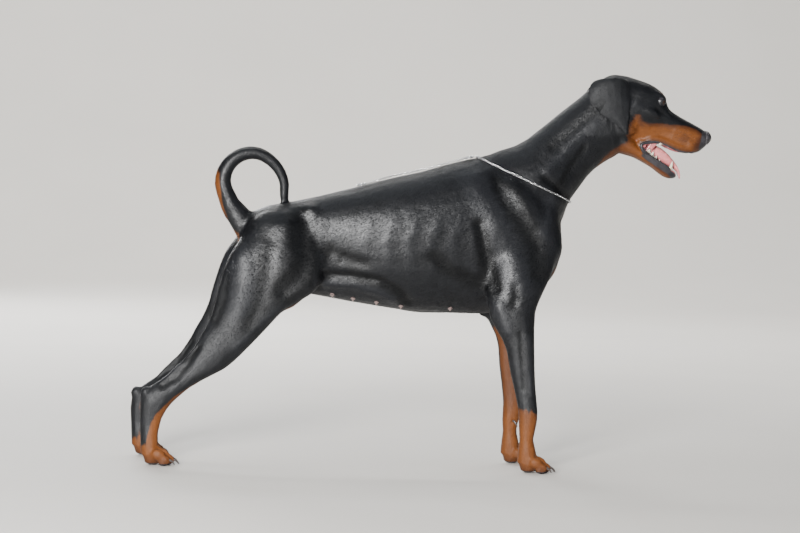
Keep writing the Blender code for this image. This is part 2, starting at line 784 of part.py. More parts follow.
def build_paw(name, side, x, y, hind, rows):
    mesh = paw_mesh(side, x, y, hind)
    tube(mesh, rows)
    paw = melt(shape(name, mesh), 1.8, 3)
    thin(paw, 320)
    low = prism("ground", ((-900, -80), (900, -80), (900, 0), (-900, 0)), -300, 300)
    high = prism("high", ((-900, PAW_CUT), (900, PAW_CUT), (900, 400), (-900, 400)), -300, 300)
    claws = []
    sockets = []
    kind, place = name.split("paw_")
    for k in range(4):
        points, radii = claw_path(side, x, y, k, hind)
        claws.append(claw(kind + "_claw_" + place + "_" + str(k + 1), points, radii))
        sockets.append(claw("socket", points, radii, GAP))
    carve(paw, [low, high] + sockets)
    drop([low, high] + sockets)
    return [paw] + claws


def tail_line():
    """The tail's middle line, from inside the croup round the ring to the tip."""
    points = [Vector((x, 0, z)) for x, z, size in TAIL_ROOT]
    for k in range(17):
        u = k / 16
        angle = math.radians(193 - 193 * u)
        reach = RING_R - 5 * max(0.0, math.sin(2 * angle)) + 1.5 * max(0.0, -math.sin(2 * angle))
        points.append(Vector((RING[0] + reach * math.cos(angle), 15 * u,
                              RING[1] + reach * math.sin(angle))))
    points.append(Vector((RING[0] + RING_R, 16, RING[1] - 14)))
    points.append(Vector((RING[0] + RING_R + 1, 17, RING[1] - 28)))
    points.append(Vector((RING[0] + RING_R + 2, 18, RING[1] - 44)))
    return points


def build_tail(croup):
    """The tail in three lengths, the first clear of the croup."""
    line = tail_line()
    sizes = [(size, min(0.94 * size, 23.0)) for x, z, size in TAIL_ROOT]
    free = len(line) - len(sizes)
    for k in range(free):
        size = TAIL_R[0] + (TAIL_R[1] - TAIL_R[0]) * k / (free - 1)
        if k == free - 1:
            size *= 0.6
        sizes.append((size, 0.94 * size))
    mesh = bmesh.new()
    skin_rings(mesh, sweep_rings(line, sizes, (0, 1, 0), 12))
    tail = shape("tail", mesh)
    slits = []
    for degrees in (150, 40):
        angle = math.radians(degrees)
        far = (RING[0] + 140 * math.cos(angle), RING[1] + 140 * math.sin(angle))
        a, b = toward(RING, far, GAP / 2)
        c, d = toward(RING, far, -GAP / 2)
        slits.append(prism("slit", (a, b, d, c), -60, 60))
    for slit in slits:
        step = tail.modifiers.new("slit", "BOOLEAN")
        step.solver = "EXACT"
        step.object = slit
        bake(tail)
    drop(slits)
    parts = islands(tail, ("tail_root", "tail_ring", "tail_tip"))
    room = grown(croup, GAP)
    carve(parts[0], [room])
    carve(parts[2], [room])
    drop([room, tail])
    return parts


def islands(body, names):
    """The separate surfaces of a body as bodies of their own, ordered along the tail."""
    mesh = bmesh.new()
    mesh.from_mesh(body.data)
    left = set(mesh.faces)
    groups = []
    while left:
        queue = [left.pop()]
        group = set(queue)
        while queue:
            face = queue.pop()
            for edge in face.edges:
                for other in edge.link_faces:
                    if other in left:
                        left.discard(other)
                        group.add(other)
                        queue.append(other)
        groups.append(group)

    def turn(group):
        spots = [face.calc_center_median() for face in group]
        x = sum(p.x for p in spots) / len(spots) / MM - RING[0]
        z = sum(p.z for p in spots) / len(spots) / MM - RING[1]
        return -(math.degrees(math.atan2(z, x)) % 360 if x < 0 else math.degrees(math.atan2(z, x)))

    groups.sort(key=turn)
    out = []
    for name, group in zip(names, groups):
        piece = bmesh.new()
        made = {}
        for face in group:
            corners = []
            for vert in face.verts:
                if vert not in made:
                    made[vert] = piece.verts.new(vert.co)
                corners.append(made[vert])
            piece.faces.new(corners)
        data = bpy.data.meshes.new(name)
        piece.to_mesh(data)
        piece.free()
        part = bpy.data.objects.new(name, data)
        bpy.context.scene.collection.objects.link(part)
        out.append(tidy(part))
    mesh.free()
    return out


def surface(body):
    graph = bpy.context.evaluated_depsgraph_get()
    return BVHTree.FromObject(body, graph)


def band(name, points, outs, wide, thick, closed):
    """A flat bar along a path; outs are the directions away from the coat."""
    count = len(points)
    mesh = bmesh.new()
    rings = []
    for i, spot in enumerate(points):
        back = points[(i - 1) % count] if closed else points[max(i - 1, 0)]
        front = points[(i + 1) % count] if closed else points[min(i + 1, count - 1)]
        ahead = (front - back).normalized()
        across = ahead.cross(outs[i]).normalized()
        lift = across.cross(ahead).normalized()
        ring = []
        for k in range(6):
            angle = math.radians(60 * k + 30)
            ring.append(spot + across * wide * 0.58 * math.cos(angle)
                        + lift * thick * 0.5 * math.sin(angle))
        rings.append([mesh.verts.new(p) for p in ring])
    for i in range(count if closed else count - 1):
        a, b = rings[i], rings[(i + 1) % count]
        for k in range(6):
            n = (k + 1) % 6
            mesh.faces.new((a[k], a[n], b[n], b[k]))
    if not closed:
        mesh.faces.new(rings[0][::-1])
        mesh.faces.new(rings[-1])
    return shape(name, mesh)


def torus(name, centre, normal, radius, wire):
    """A round ring of wire lying across the normal."""
    normal = normal.normalized()
    first = normal.cross(Vector((0, 1, 0))).normalized()
    second = normal.cross(first)
    points, outs = [], []
    for k in range(20):
        angle = 2 * math.pi * k / 20
        points.append(centre + (first * math.cos(angle) + second * math.sin(angle)) * radius)
        outs.append(normal)
    return band(name, points, outs, wire, wire, True)


def clear_of(tree, spot, lift):
    """The spot, moved out where it is nearer to the coat than lift."""
    near, normal, face, far = tree.find_nearest(spot * MM)
    near = near / MM
    above = (spot - near).dot(normal)
    if above < lift:
        spot = near + normal * lift
    return spot


def build_chain(body):
    """The chain round the neck, its slip ring and its free end along the back."""
    tree = surface(body)
    top, low = np.array(CHAIN_TOP), np.array(CHAIN_LOW)
    middle = 0.5 * (top + low)
    rise = (top - low) / np.linalg.norm(top - low)
    points, outs = [], []
    lift = CHAIN_THICK / 2 + 1.1
    for k in range(56):
        angle = 2 * math.pi * k / 56
        way = Vector((rise[0] * math.cos(angle), math.sin(angle), rise[1] * math.cos(angle)))
        start = Vector((middle[0], 0, middle[1])) + way * 260
        spot, normal, face, far = tree.ray_cast(start * MM, -way)
        normal = normal.normalized()
        points.append(spot / MM + normal * lift)
        outs.append(normal)
    for turn in range(6):
        points = [points[i - 1] * 0.25 + points[i] * 0.5 + points[(i + 1) % 56] * 0.25
                  for i in range(56)]
        points = [clear_of(tree, p, lift) for p in points]
    outs = [tree.find_nearest(p * MM)[1].normalized() for p in points]
    loop = band("chain_collar", points, outs, CHAIN_WIDE, CHAIN_THICK, True)

    def back_point(x, y):
        spot, normal, face, far = tree.ray_cast(Vector((x, y, 900)) * MM, Vector((0, 0, -1)))
        return spot / MM, normal.normalized()

    start = points[0].x - CHAIN_WIDE / 2 - 1.5
    spot, normal = back_point(start - LINK_RING - 1.5, -3)
    first = torus("chain_ring_slip", spot + normal * 3.4, normal, LINK_RING, 3.4)
    path, outs = [], []
    begin = start - 2 * LINK_RING - 4.5
    for k in range(26):
        u = k / 25
        x = begin - CHAIN_END * u
        y = -3 - 9 * math.sin(2.4 * math.pi * u) * u
        spot, normal = back_point(x, y)
        path.append(spot + normal * lift)
        outs.append(normal)
    tail = band("chain_end", path, outs, CHAIN_WIDE, CHAIN_THICK, False)
    spot, normal = back_point(path[-1].x - LINK_RING - 2.6, path[-1].y)
    last = torus("chain_ring_end", spot + normal * 3.4, normal, LINK_RING, 3.4)
    return [loop, first, tail, last]


def add_teats(torso):
    tree = surface(torso)
    pieces = []
    for x, y in TEATS:
        for name, side in SIDES:
            spot, normal, face, far = tree.ray_cast(Vector((x, side * y, 200)) * MM,
                                                    Vector((0, 0, 1)))
            spot = spot / MM
            down = Vector((0, side * 0.15, -1)).normalized()
            mesh = bmesh.new()
            points = [spot - down * 4, spot + down * 1.5, spot + down * 5, spot + down * 7]
            sizes = [(5.5, 5.5), (4.2, 4.2), (3.0, 3.0), (1.4, 1.4)]
            skin_rings(mesh, sweep_rings(points, sizes, (1, 0, 0), 7))
            pieces.append(shape("teat", mesh))
    return gather(torso, pieces)


def line_block(a, b, reach, shift):
    """A block on the left of the line from a to b, its edge moved by shift."""
    a, b = toward(a, b, shift)
    far_a, far_b = toward(a, b, reach)
    stretch = 900
    size = math.hypot(b[0] - a[0], b[1] - a[1])
    dx, dz = (b[0] - a[0]) / size * stretch, (b[1] - a[1]) / size * stretch
    return prism("side", ((a[0] - dx, a[1] - dz), (b[0] + dx, b[1] + dz),
                          (far_b[0] + dx, far_b[1] + dz), (far_a[0] - dx, far_a[1] - dz)),
                 -300, 300)


def leg_block(corners, side, inner, shift):
    """The part of the body that goes with a leg; a positive shift makes it larger."""
    xs = [c[0] for c in corners]
    zs = [c[1] for c in corners]
    x0, x1 = min(xs) - shift, max(xs) + shift
    z0, z1 = min(zs) - shift, max(zs) + shift
    low, high = sorted((side * (inner - shift), side * 260))
    return prism("leg", ((x0, z0), (x1, z0), (x1, z1), (x0, z1)), low, high)


FORE_BLOCK = ((96, PAW_CUT + GAP), (330, 388))
HIND_BLOCK = ((-700, PAW_CUT + GAP), (-204, 428))
FORE_INNER = 46
HIND_INNER = 24
HEAD_LINE = ((398, 655), (372, 860))


def build_all():
    nodes = []
    body = build_body()
    thin(body, 3700)
    nodes += build_chain(body)

    torso = copy_of(body, "torso")
    above = line_block(CHAIN_LOW, CHAIN_TOP, -700, 0.0)
    blocks = []
    for name, side in SIDES:
        blocks.append(leg_block(FORE_BLOCK, side, FORE_INNER, GAP))
        blocks.append(leg_block(HIND_BLOCK, side, HIND_INNER, GAP))
    carve(torso, [above] + blocks)
    drop([above] + blocks)

    neck = copy_of(body, "neck")
    below = line_block(CHAIN_LOW, CHAIN_TOP, 900, -GAP)
    ahead = line_block(HEAD_LINE[0], HEAD_LINE[1], -700, 0.0)
    carve(neck, [below, ahead])
    drop([below, ahead])
    nodes.append(neck)

    for name, side in SIDES:
        for kind, block, inner, row, far in (
                ("fore", FORE_BLOCK, FORE_INNER, FORELEG, FORE_FAR),
                ("hind", HIND_BLOCK, HIND_INNER, HINDLEG, HIND_FAR)):
            leg = copy_of(body, kind + "leg_" + name)
            tool = leg_block(block, side, inner, 0.0)
            carve(leg, [tool], "INTERSECT")
            drop([tool])
            rows = moved_rows(row, side, far)
            heel = rows[-1][2] + 2
            hind = kind == "hind"
            y = HIND_Y if hind else FORE_Y
            nodes += build_paw(kind + "paw_" + name, side, heel, y, hind, rows[-3:])
            if not hind:
                points, radii = dew_path(side, far[0] if side > 0 else 0)
                nodes.append(claw("dewclaw_" + name, points, radii))
                socket = claw("socket", points, radii, GAP)
                carve(leg, [socket])
                drop([socket])
            nodes.append(leg)

    head = build_head()
    mouth = bmesh.new()
    tube(mouth, head_rows(MOUTH), 2, 14)
    mouth = shape("mouth", mouth)
    thin(head, 1700)
    corners = [head_point(*p) for p in ((-7, -190), (-7, -109), (6, -102), (130, -80), (130, -190))]
    jaw_room = prism("jaw_room", corners, -120, 120)
    back = line_block(HEAD_LINE[0], HEAD_LINE[1], 700, -GAP)
    leather = thin(melt(shape("leather", nose_mesh(0.0)), 1.2, 5), 200)
    muzzle = grown(leather, GAP + 0.1)
    drop([leather])
    carve(head, [mouth, jaw_room, back, muzzle])
    drop([mouth, back, muzzle])
    gather(head, upper_teeth())
    for name, side in SIDES:
        tools = eye_tools(side)
        carve(head, tools)
        drop(tools)
        nodes.append(build_eye(name, side))
    nodes.append(head)
    nodes.append(build_nose())

    jaw = build_jaw()
    thin(jaw, 460)
    gather(jaw, lower_teeth())
    corners = [head_point(*p) for p in ((-7 + GAP, -190), (-7 + GAP, -109 - GAP), (6, -102 - GAP),
                                        (130, -60), (130, -190))]
    room = prism("jaw_part", corners, -120, 120)
    carve(jaw, [room], "INTERSECT")
    drop([room, jaw_room])
    mesh = bmesh.new()
    tube(mesh, head_rows(TONGUE, 0, 7), 3, 14)
    tongue = thin(melt(shape("tongue", mesh), 2.0, 2), 280)
    bed = grown(tongue, GAP)
    carve(jaw, [bed])
    carve(head, [bed])
    drop([bed])
    nodes += [jaw, tongue]

    rooms = [grown(head, GAP), grown(neck, GAP)]
    for name, side in SIDES:
        ear = build_ear(name, side)
        thin(ear, 360)
        carve(ear, rooms)
        nodes.append(ear)
    drop(rooms)

    nodes += build_tail(torso)
    add_teats(torso)
    nodes.append(torso)
    drop([body])
    return nodes


def coat_for(name):
    for key, coat in (("chain", "steel"), ("claw", "claw"), ("eye", "eye"), ("nose", "nose"),
                      ("tongue", "tongue"), ("paw", "tan")):
        if key in name:
            return coat
    return "coat"


def centre(nodes):
    """Moves everything so that the origin is at the middle of the underside."""
    spots = np.array([body.matrix_world @ v.co for body in nodes for v in body.data.vertices])
    low, high = spots.min(axis=0), spots.max(axis=0)
    away = Vector((-(low[0] + high[0]) / 2, -(low[1] + high[1]) / 2, -low[2]))
    for body in nodes:
        body.data.transform(Matrix.Translation(away))
    return away


def main():
    clear_scene()
    nodes = build_all()
    away = centre(nodes)
    print("moved by", [round(v * 1000, 3) for v in away])
    total = 0
    for body in nodes:
        paint(body, coat_for(body.name))
        total += len(body.data.polygons)
        print(body.name, len(body.data.polygons))
    print("nodes", len(nodes), "triangles", total)


main()
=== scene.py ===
"""Looks of a life-size doberman model: skin, short coat, eyes, teeth, tongue, claws and chain."""

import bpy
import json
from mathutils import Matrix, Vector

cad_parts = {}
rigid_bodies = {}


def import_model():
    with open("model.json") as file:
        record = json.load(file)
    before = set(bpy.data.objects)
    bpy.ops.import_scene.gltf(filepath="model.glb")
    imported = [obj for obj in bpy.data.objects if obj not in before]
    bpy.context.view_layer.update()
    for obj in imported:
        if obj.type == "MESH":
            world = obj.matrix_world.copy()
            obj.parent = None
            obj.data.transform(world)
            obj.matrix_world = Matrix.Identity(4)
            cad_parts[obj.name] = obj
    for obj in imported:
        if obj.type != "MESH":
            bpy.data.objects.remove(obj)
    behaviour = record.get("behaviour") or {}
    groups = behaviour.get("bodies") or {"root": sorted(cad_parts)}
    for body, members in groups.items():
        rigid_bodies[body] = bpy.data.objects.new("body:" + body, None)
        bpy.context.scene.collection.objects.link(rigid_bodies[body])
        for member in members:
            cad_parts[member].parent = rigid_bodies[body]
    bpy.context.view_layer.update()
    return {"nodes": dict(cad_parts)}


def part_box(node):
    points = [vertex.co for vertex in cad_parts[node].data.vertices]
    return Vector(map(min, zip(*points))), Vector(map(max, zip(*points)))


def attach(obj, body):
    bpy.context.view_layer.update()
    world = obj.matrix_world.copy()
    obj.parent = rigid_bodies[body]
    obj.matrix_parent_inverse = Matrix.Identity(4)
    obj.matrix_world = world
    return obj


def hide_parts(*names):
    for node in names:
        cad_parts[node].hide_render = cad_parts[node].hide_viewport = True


bl_info = {
    "name": "Doberman model",
    "version": (1, 0, 0),
    "blender": (4, 5, 0),
    "location": "3D View > Sidebar > Dog",
    "description": "Builds the skin, coat, head details, claws, chain collar and studio of a doberman",
    "category": "Object",
}

import json
import math

import bmesh
import bpy
import numpy as np
from bpy.props import FloatProperty, FloatVectorProperty, IntProperty, PointerProperty
from mathutils import Matrix, Vector
from mathutils.bvhtree import BVHTree

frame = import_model()

MM = 0.001
SIDES = (("right", -1), ("left", 1))
PAIRED = ("ear", "foreleg", "hindleg", "forepaw", "hindpaw")
FLESH = ["torso", "neck", "head", "lower_jaw", "tail_root", "tail_ring", "tail_tip"]
FLESH += [kind + "_" + name for kind in PAIRED for name, side in SIDES]

# The head's own axes, in mm: s runs forward along the bridge of the nose from the stop, t up.
STOP = (518.0, 785.0)
HEAD_PITCH = math.radians(-30.5)
EYE = (-25.0, -4.5, 29.0)
EYE_TURN = math.radians(37)


def head_spot(s, t, y):
    """A point given along the head's axes, in mm."""
    c = math.cos(HEAD_PITCH)
    k = math.sin(HEAD_PITCH)
    return Vector((STOP[0] + s * c - t * k, y, STOP[1] + s * k + t * c))


def middle_of(node):
    """The middle of the box round a CAD node."""
    low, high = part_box(node)
    return (low + high) / 2


# The eye's radius in metres, and where the drawing's origin lies in the frame, from the right eye.
EYE_R = (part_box("eye_right")[1][1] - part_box("eye_right")[0][1]) / 2
SHIFT = middle_of("eye_right") - head_spot(EYE[0], EYE[1], -EYE[2]) * MM


def spot(x, y, z):
    """A point of the drawing, in mm, as a point of the frame, in metres."""
    return Vector((x, y, z)) * MM + SHIFT


def face_spot(s, t, y):
    """A point given along the head's axes, in mm, as a point of the frame, in metres."""
    return head_spot(s, t, y) * MM + SHIFT


HEAD_AHEAD = Vector((math.cos(HEAD_PITCH), 0, math.sin(HEAD_PITCH)))
HEAD_UP = Vector((-math.sin(HEAD_PITCH), 0, math.cos(HEAD_PITCH)))


# How far the middles of the feet lie to each side, in mm.
FORE_Y = 84.0
HIND_Y = 88.0
# The front of the hind leg from the thigh down, as heights and places forward, in mm.
HIND_FRONT = ((430, -214), (337, -286), (292, -329), (245, -373), (206, -414), (174, -471),
              (143, -512), (106, -541), (78, -550), (46, -551), (0, -551))
# The middle of the tail's ring, x and z; the teats, x and y; the collar's top and lowest point, x and z.
RING = (-363.0, 588.0)
TEATS = ((60, 30), (-46, 32), (-98, 32), (-148, 30), (-192, 27))
CHAIN_TOP = (92.0, 664.0)
CHAIN_LOW = (309.0, 574.0)

# Ridges and hollows seen from the side: how far out in mm, how wide, then x and z along them.
SIDE_LINES = (
    (3.0, 26, ((96, 610), (140, 530), (172, 462), (196, 400))),
    (-4.2, 13, ((108, 520), (120, 470), (134, 424), (143, 390))),
    (-2.6, 20, ((150, 606), (196, 540), (232, 478), (236, 420))),
    (2.4, 15, ((268, 575), (262, 540), (250, 505))),
    (-2.2, 10, ((186, 392), (190, 372), (184, 356))),
    (2.6, 12, ((150, 352), (160, 330), (172, 300))),
    (-2.6, 13, ((10, 452), (52, 424), (96, 405), (128, 396))),
    (-3.0, 16, ((-200, 452), (-168, 440), (-134, 432))),
    (-3.4, 9, ((-214, 405), (-160, 404), (-96, 396), (-54, 374), (-32, 350))),
    (2.4, 9, ((-206, 384), (-150, 383), (-100, 372), (-66, 354))),
    (-4.5, 22, ((-266, 520), (-262, 470), (-256, 436), (-266, 404), (-300, 372))),
    (-2.2, 18, ((-330, 476), (-334, 420), (-346, 350), (-370, 296))),
    (3.0, 20, ((-392, 440), (-386, 380), (-396, 330))),
    (-1.8, 9, ((-418, 400), (-426, 350), (-442, 306))),
    (-2.4, 8, ((-478, 250), (-500, 212), (-520, 186), (-548, 168))),
    (1.4, 6, ((-500, 236), (-524, 206), (-552, 178))),
    (1.5, 10, ((-300, 336), (-350, 300), (-396, 250))),
    (-1.4, 7, ((200, 300), (206, 240), (212, 180))),
    (1.2, 6, ((222, 290), (226, 230), (230, 170))),
    (-1.6, 8, ((330, 690), (300, 640), (280, 600))),
    (1.5, 12, ((352, 740), (300, 690), (250, 640))),
    (-1.3, 10, ((372, 790), (320, 742), (262, 690))),
    (-2.6, 9, ((249, 622), (277, 601), (304, 583))),
)
# How much stronger these side lines are made; then how many ribs show, where the first one lies
# and how far it is to the next.
RELIEF = 1.3
RIBS = 6
RIB_X = 96
RIB_GAP = 46
# Ridges and hollows seen from the front and from the rear, with y and z along them.
FRONT_LINES = (
    (3.0, 12, ((0, 540), (0, 480), (0, 430))),
    (-3.2, 9, ((16, 530), (20, 470), (24, 420))),
    (2.2, 14, ((48, 500), (46, 450), (40, 410))),
    (-2.0, 9, ((0, 410), (0, 370), (0, 345))),
)
REAR_LINES = (
    (-6.0, 9, ((0, 500), (0, 440), (0, 400))),
    (2.0, 16, ((38, 450), (44, 400), (52, 350))),
)
# Creases and swellings of the face on each side: mm out, width, then s and t along them.
FACE_LINES = (
    (-1.3, 4.0, ((-10, -62), (6, -48), (30, -40))),
    (1.2, 8.0, ((40, -50), (64, -48), (86, -42))),
    (-1.0, 3.5, ((-26, -22), (-8, -24), (8, -22))),
    (1.2, 6.0, ((-44, 6), (-30, 9), (-14, 5))),
    (-0.9, 3.0, ((-18, -92), (-30, -84), (-44, -82))),
    (-0.9, 3.0, ((-16, -104), (-28, -100), (-42, -99))),
    (1.0, 9.0, ((-58, -40), (-78, -44), (-100, -50))),
)


class CoatSettings(bpy.types.PropertyGroup):
    """Sizes and colours of the skin and its short coat."""
    depth: FloatProperty(name="Coat depth", default=0.0011, unit="LENGTH",
                         description="How far the skin lies inside the outline of the coat")
    voxel: FloatProperty(name="Skin detail", default=0.0017, unit="LENGTH",
                         description="Size of the cells from which the skin is built")
    triangles: IntProperty(name="Skin triangles", default=186000,
                           description="How many triangles the finished skin keeps")
    hair: FloatProperty(name="Hair length", default=0.0095, unit="LENGTH",
                        description="Length of a lock on the trunk")
    width: FloatProperty(name="Lock width", default=0.0016, unit="LENGTH",
                         description="Width of a lock at its root")
    black: FloatVectorProperty(name="Black", default=(0.0012, 0.0013, 0.0016), size=3,
                               subtype="COLOR", description="The black coat")
    # The lighter black is partly random tone and partly a painted sheen on the ridges of the relief; the
    # hollows keep the plain black as painted shade.
    sheen_and_tone_black: FloatVectorProperty(name="Sheen and tone black", default=(0.0065, 0.0070, 0.0086), size=3,
                                     subtype="COLOR", description="Lighter patches of the black")
    tan: FloatVectorProperty(name="Tan", default=(0.098, 0.0300, 0.0042), size=3,
                             subtype="COLOR", description="The rust-tan markings")
    deep_tan: FloatVectorProperty(name="Deep tan", default=(0.036, 0.0105, 0.003), size=3,
                                  subtype="COLOR", description="Darker parts of the markings")


class HeadSettings(bpy.types.PropertyGroup):
    """Colours of the bare parts of the head."""
    leather: FloatVectorProperty(name="Nose and lips", default=(0.014, 0.013, 0.015), size=3,
                                 subtype="COLOR", description="Black skin of nose, lips and pads")
    gum: FloatVectorProperty(name="Gums", default=(0.28, 0.085, 0.09), size=3,
                             subtype="COLOR", description="Inside of the mouth")
    teat: FloatVectorProperty(name="Teats", default=(0.13, 0.095, 0.09), size=3,
                              subtype="COLOR", description="Grey-pink of the teats")
    tongue: FloatVectorProperty(name="Tongue", default=(0.44, 0.15, 0.155), size=3,
                                subtype="COLOR", description="Upper side of the tongue")
    tooth: FloatVectorProperty(name="Teeth", default=(0.56, 0.53, 0.455), size=3,
                               subtype="COLOR", description="Crown of a tooth")
    iris: FloatVectorProperty(name="Iris", default=(0.022, 0.009, 0.004), size=3,
                              subtype="COLOR", description="Dark brown of the eye")
    claw: FloatVectorProperty(name="Claws", default=(0.020, 0.016, 0.015), size=3,
                              subtype="COLOR", description="Horn of the claws")


class ChainSettings(bpy.types.PropertyGroup):
    """Sizes and colour of the chain collar."""
    pitch: FloatProperty(name="Link pitch", default=0.0056, unit="LENGTH",
                         description="Distance from one link to the next")
    wire: FloatProperty(name="Wire", default=0.00078, unit="LENGTH",
                        description="Radius of the wire of a link")
    steel: FloatVectorProperty(name="Steel", default=(0.62, 0.63, 0.65), size=3,
                               subtype="COLOR", description="Polished steel")


class StageSettings(bpy.types.PropertyGroup):
    """The floor, the backdrop and the lights."""
    floor: FloatVectorProperty(name="Floor", default=(0.57, 0.556, 0.53), size=3,
                               subtype="COLOR", description="Pale floor and backdrop")
    sky: FloatProperty(name="Overhead light", default=50.0, min=0.0,
                       description="Power of the large soft light above, in watts")
    key: FloatProperty(name="Key light", default=900.0, min=0.0,
                       description="Power of the light from the front left, in watts")
    back: FloatProperty(name="Backdrop light", default=620.0, min=0.0,
                        description="Power of the light on the backdrop, in watts")
    fill: FloatProperty(name="Fill light", default=12.0, min=0.0,
                        description="Power of the light from the right, in watts")
    rear: FloatProperty(name="Rear light", default=130.0, min=0.0,
                        description="Power of the light from behind the dog, in watts")


# Helpers for selecting, shaping and painting meshes


def choose(body):
    """Makes the object the only one selected, and active."""
    for other in bpy.context.view_layer.objects:
        other.select_set(False)
    body.hide_set(False)
    body.select_set(True)
    bpy.context.view_layer.objects.active = body


def apply(body, kind, **values):
    """Adds a modifier with these values and applies it."""
    step = body.modifiers.new(kind.lower(), kind)
    for key, value in values.items():
        setattr(step, key, value)
    choose(body)
    bpy.ops.object.modifier_apply(modifier=step.name)


def corners_of(body):
    """The positions of the vertices, in metres."""
    out = np.empty(len(body.data.vertices) * 3)
    body.data.vertices.foreach_get("co", out)
    return out.reshape(-1, 3)


def place_corners(body, spots):
    """Moves the vertices to these positions, in metres."""
    body.data.vertices.foreach_set("co", np.asarray(spots, np.float32).ravel())
    body.data.update()


def place_drawn(body, spots):
    """Moves the vertices to these positions of the drawing, in mm."""
    place_corners(body, spots * MM + np.array(SHIFT))


def normals_of(body):
    """The normals of the vertices."""
    out = np.empty(len(body.data.vertices) * 3, np.float32)
    body.data.vertex_normals.foreach_get("vector", out)
    return out.reshape(-1, 3).astype(float)


def drawn(spots):
    """Positions in the frame as positions in the drawing, in mm."""
    return (spots - np.array(SHIFT)) / MM


def ramp(value, low, high):
    """A soft step from 0 at low to 1 at high."""
    u = np.clip((np.asarray(value, float) - low) / (high - low), 0, 1)
    return u * u * (3 - 2 * u)


def new_object(name, data):
    """An object of the scene that shows this mesh, light or camera."""
    body = bpy.data.objects.new(name, data)
    bpy.context.scene.collection.objects.link(body)
    return body


def new_body(name, spots, faces):
    """A smooth object made of these corners and faces."""
    data = bpy.data.meshes.new(name)
    data.from_pydata([tuple(p) for p in spots], [], faces)
    data.validate()
    data.update()
    data.shade_smooth()
    return new_object(name, data)


def write(body, name, values):
    """Stores one number, or three, for each vertex."""
    values = np.asarray(values, np.float32)
    kind = "FLOAT" if values.ndim == 1 else "FLOAT_VECTOR"
    layer = body.data.attributes.new(name, kind, "POINT")
    layer.data.foreach_set("value" if values.ndim == 1 else "vector", values.ravel())


def finish_piece(body, slot, material, *nodes):
    """Gives the piece its material and its place on the body, in the place of the CAD nodes."""
    body.data.materials.clear()
    body.data.materials.append(material)
    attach(body, "root")
    if nodes:
        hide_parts(*nodes)
    return body


def merged_copy(name, nodes, grow=0.0):
    """Copies of CAD nodes as one mesh, each with its doubles merged and its skin moved out."""
    whole = bmesh.new()
    for node in nodes:
        piece = bmesh.new()
        piece.from_mesh(frame["nodes"][node].data)
        bmesh.ops.remove_doubles(piece, verts=piece.verts, dist=1e-6)
        piece.normal_update()
        for corner in piece.verts:
            corner.co += corner.normal * grow
        data = bpy.data.meshes.new("part")
        piece.to_mesh(data)
        piece.free()
        whole.from_mesh(data)
        bpy.data.meshes.remove(data)
    data = bpy.data.meshes.new(name)
    whole.to_mesh(data)
    whole.free()
    data.materials.clear()
    data.shade_smooth()
    return new_object(name, data)


def rounded_copy(name, node):
    """A CAD node with its facets rounded off."""
    body = merged_copy(name, [node])
    apply(body, "SUBSURF", levels=2, render_levels=2)
    body.data.shade_smooth()
    return body


def line_gap(spots, line):
    """How far each point is from a line of points."""
    best = np.full(len(spots), 1e9)
    line = np.array(line, float)
    for a, b in zip(line[:-1], line[1:]):
        run = b - a
        u = np.clip((spots - a) @ run / (run @ run), 0, 1)
        best = np.minimum(best, np.linalg.norm(spots - a - u[:, None] * run, axis=1))
    return best


def depth_inside(flat, outline):
    """How deep each flat point lies inside the outline; less than 0 outside."""
    outline = np.array(outline, float)
    gap = line_gap(flat, np.vstack((outline, outline[:1])))
    inside = np.zeros(len(flat), bool)
    for a, b in zip(outline, np.roll(outline, -1, axis=0)):
        crosses = (a[1] > flat[:, 1]) != (b[1] > flat[:, 1])
        reach = a[0] + (flat[:, 1] - a[1]) * (b[0] - a[0]) / (b[1] - a[1] + 1e-12)
        inside ^= crosses & (flat[:, 0] < reach)
    return np.where(inside, gap, -gap)


def ball(spots, centre, radii, soft=0.3):
    """1 inside an ellipsoid, falling to 0 outside it."""
    away = np.linalg.norm((spots - np.array(centre, float)) / np.array(radii, float), axis=1)
    return 1 - ramp(away, 1 - soft, 1 + soft)


def tube(rings, closed):
    """Corners and four-sided faces between rings of points; a closed tube bites its tail."""
    count = len(rings[0])
    faces = []
    for i in range(len(rings) if closed else len(rings) - 1):
        a = i * count
        b = (i + 1) % len(rings) * count
        for k in range(count):
            n = (k + 1) % count
            faces.append((a + k, a + n, b + n, b + k))
    return [p for ring in rings for p in ring], faces


def loft(rings):
    """Corners and faces of a closed skin through rings of points."""
    count = len(rings[0])
    corners, faces = tube(rings, False)
    faces.append(tuple(range(count - 1, -1, -1)))
    last = (len(rings) - 1) * count
    faces.append(tuple(range(last, last + count)))
    return corners, faces


def sweep(path, radii, count, up=Vector((0, 0, 1)), flat=1.0):
    """Rings along a path; flat is the height of a ring as a share of its width."""
    rings = []
    for i, point in enumerate(path):
        ahead = (path[min(i + 1, len(path) - 1)] - path[max(i - 1, 0)]).normalized()
        across = ahead.cross(up).normalized()
        lift = across.cross(ahead)
        ring = []
        for k in range(count):
            angle = 2 * math.pi * k / count
            ring.append(point + across * radii[i] * math.cos(angle)
                        + lift * radii[i] * flat * math.sin(angle))
        rings.append(ring)
    return rings


def join_parts(name, parts):
    """One object from several lists of corners and faces; its faces are turned outward."""
    spots = []
    faces = []
    for corners, sides in parts:
        base = len(spots)
        spots.extend(corners)
        faces.extend(tuple(base + k for k in side) for side in sides)
    body = new_body(name, spots, faces)
    mesh = bmesh.new()
    mesh.from_mesh(body.data)
    bmesh.ops.recalc_face_normals(mesh, faces=mesh.faces)
    mesh.to_mesh(body.data)
    mesh.free()
    return body


# Where the parts of the body lie, for points of the drawing in mm


# Points further forward than these can lie on the ears, the head, the mouth and the jaws.
EARS_X = 300.0
HEAD_X = 380.0
MOUTH_X = 440.0
JAWS_X = 480.0
# A point between the neck and the head, x and z, and how much the border there leans back.
NAPE = (385, 655)
NAPE_SLOPE = 0.127
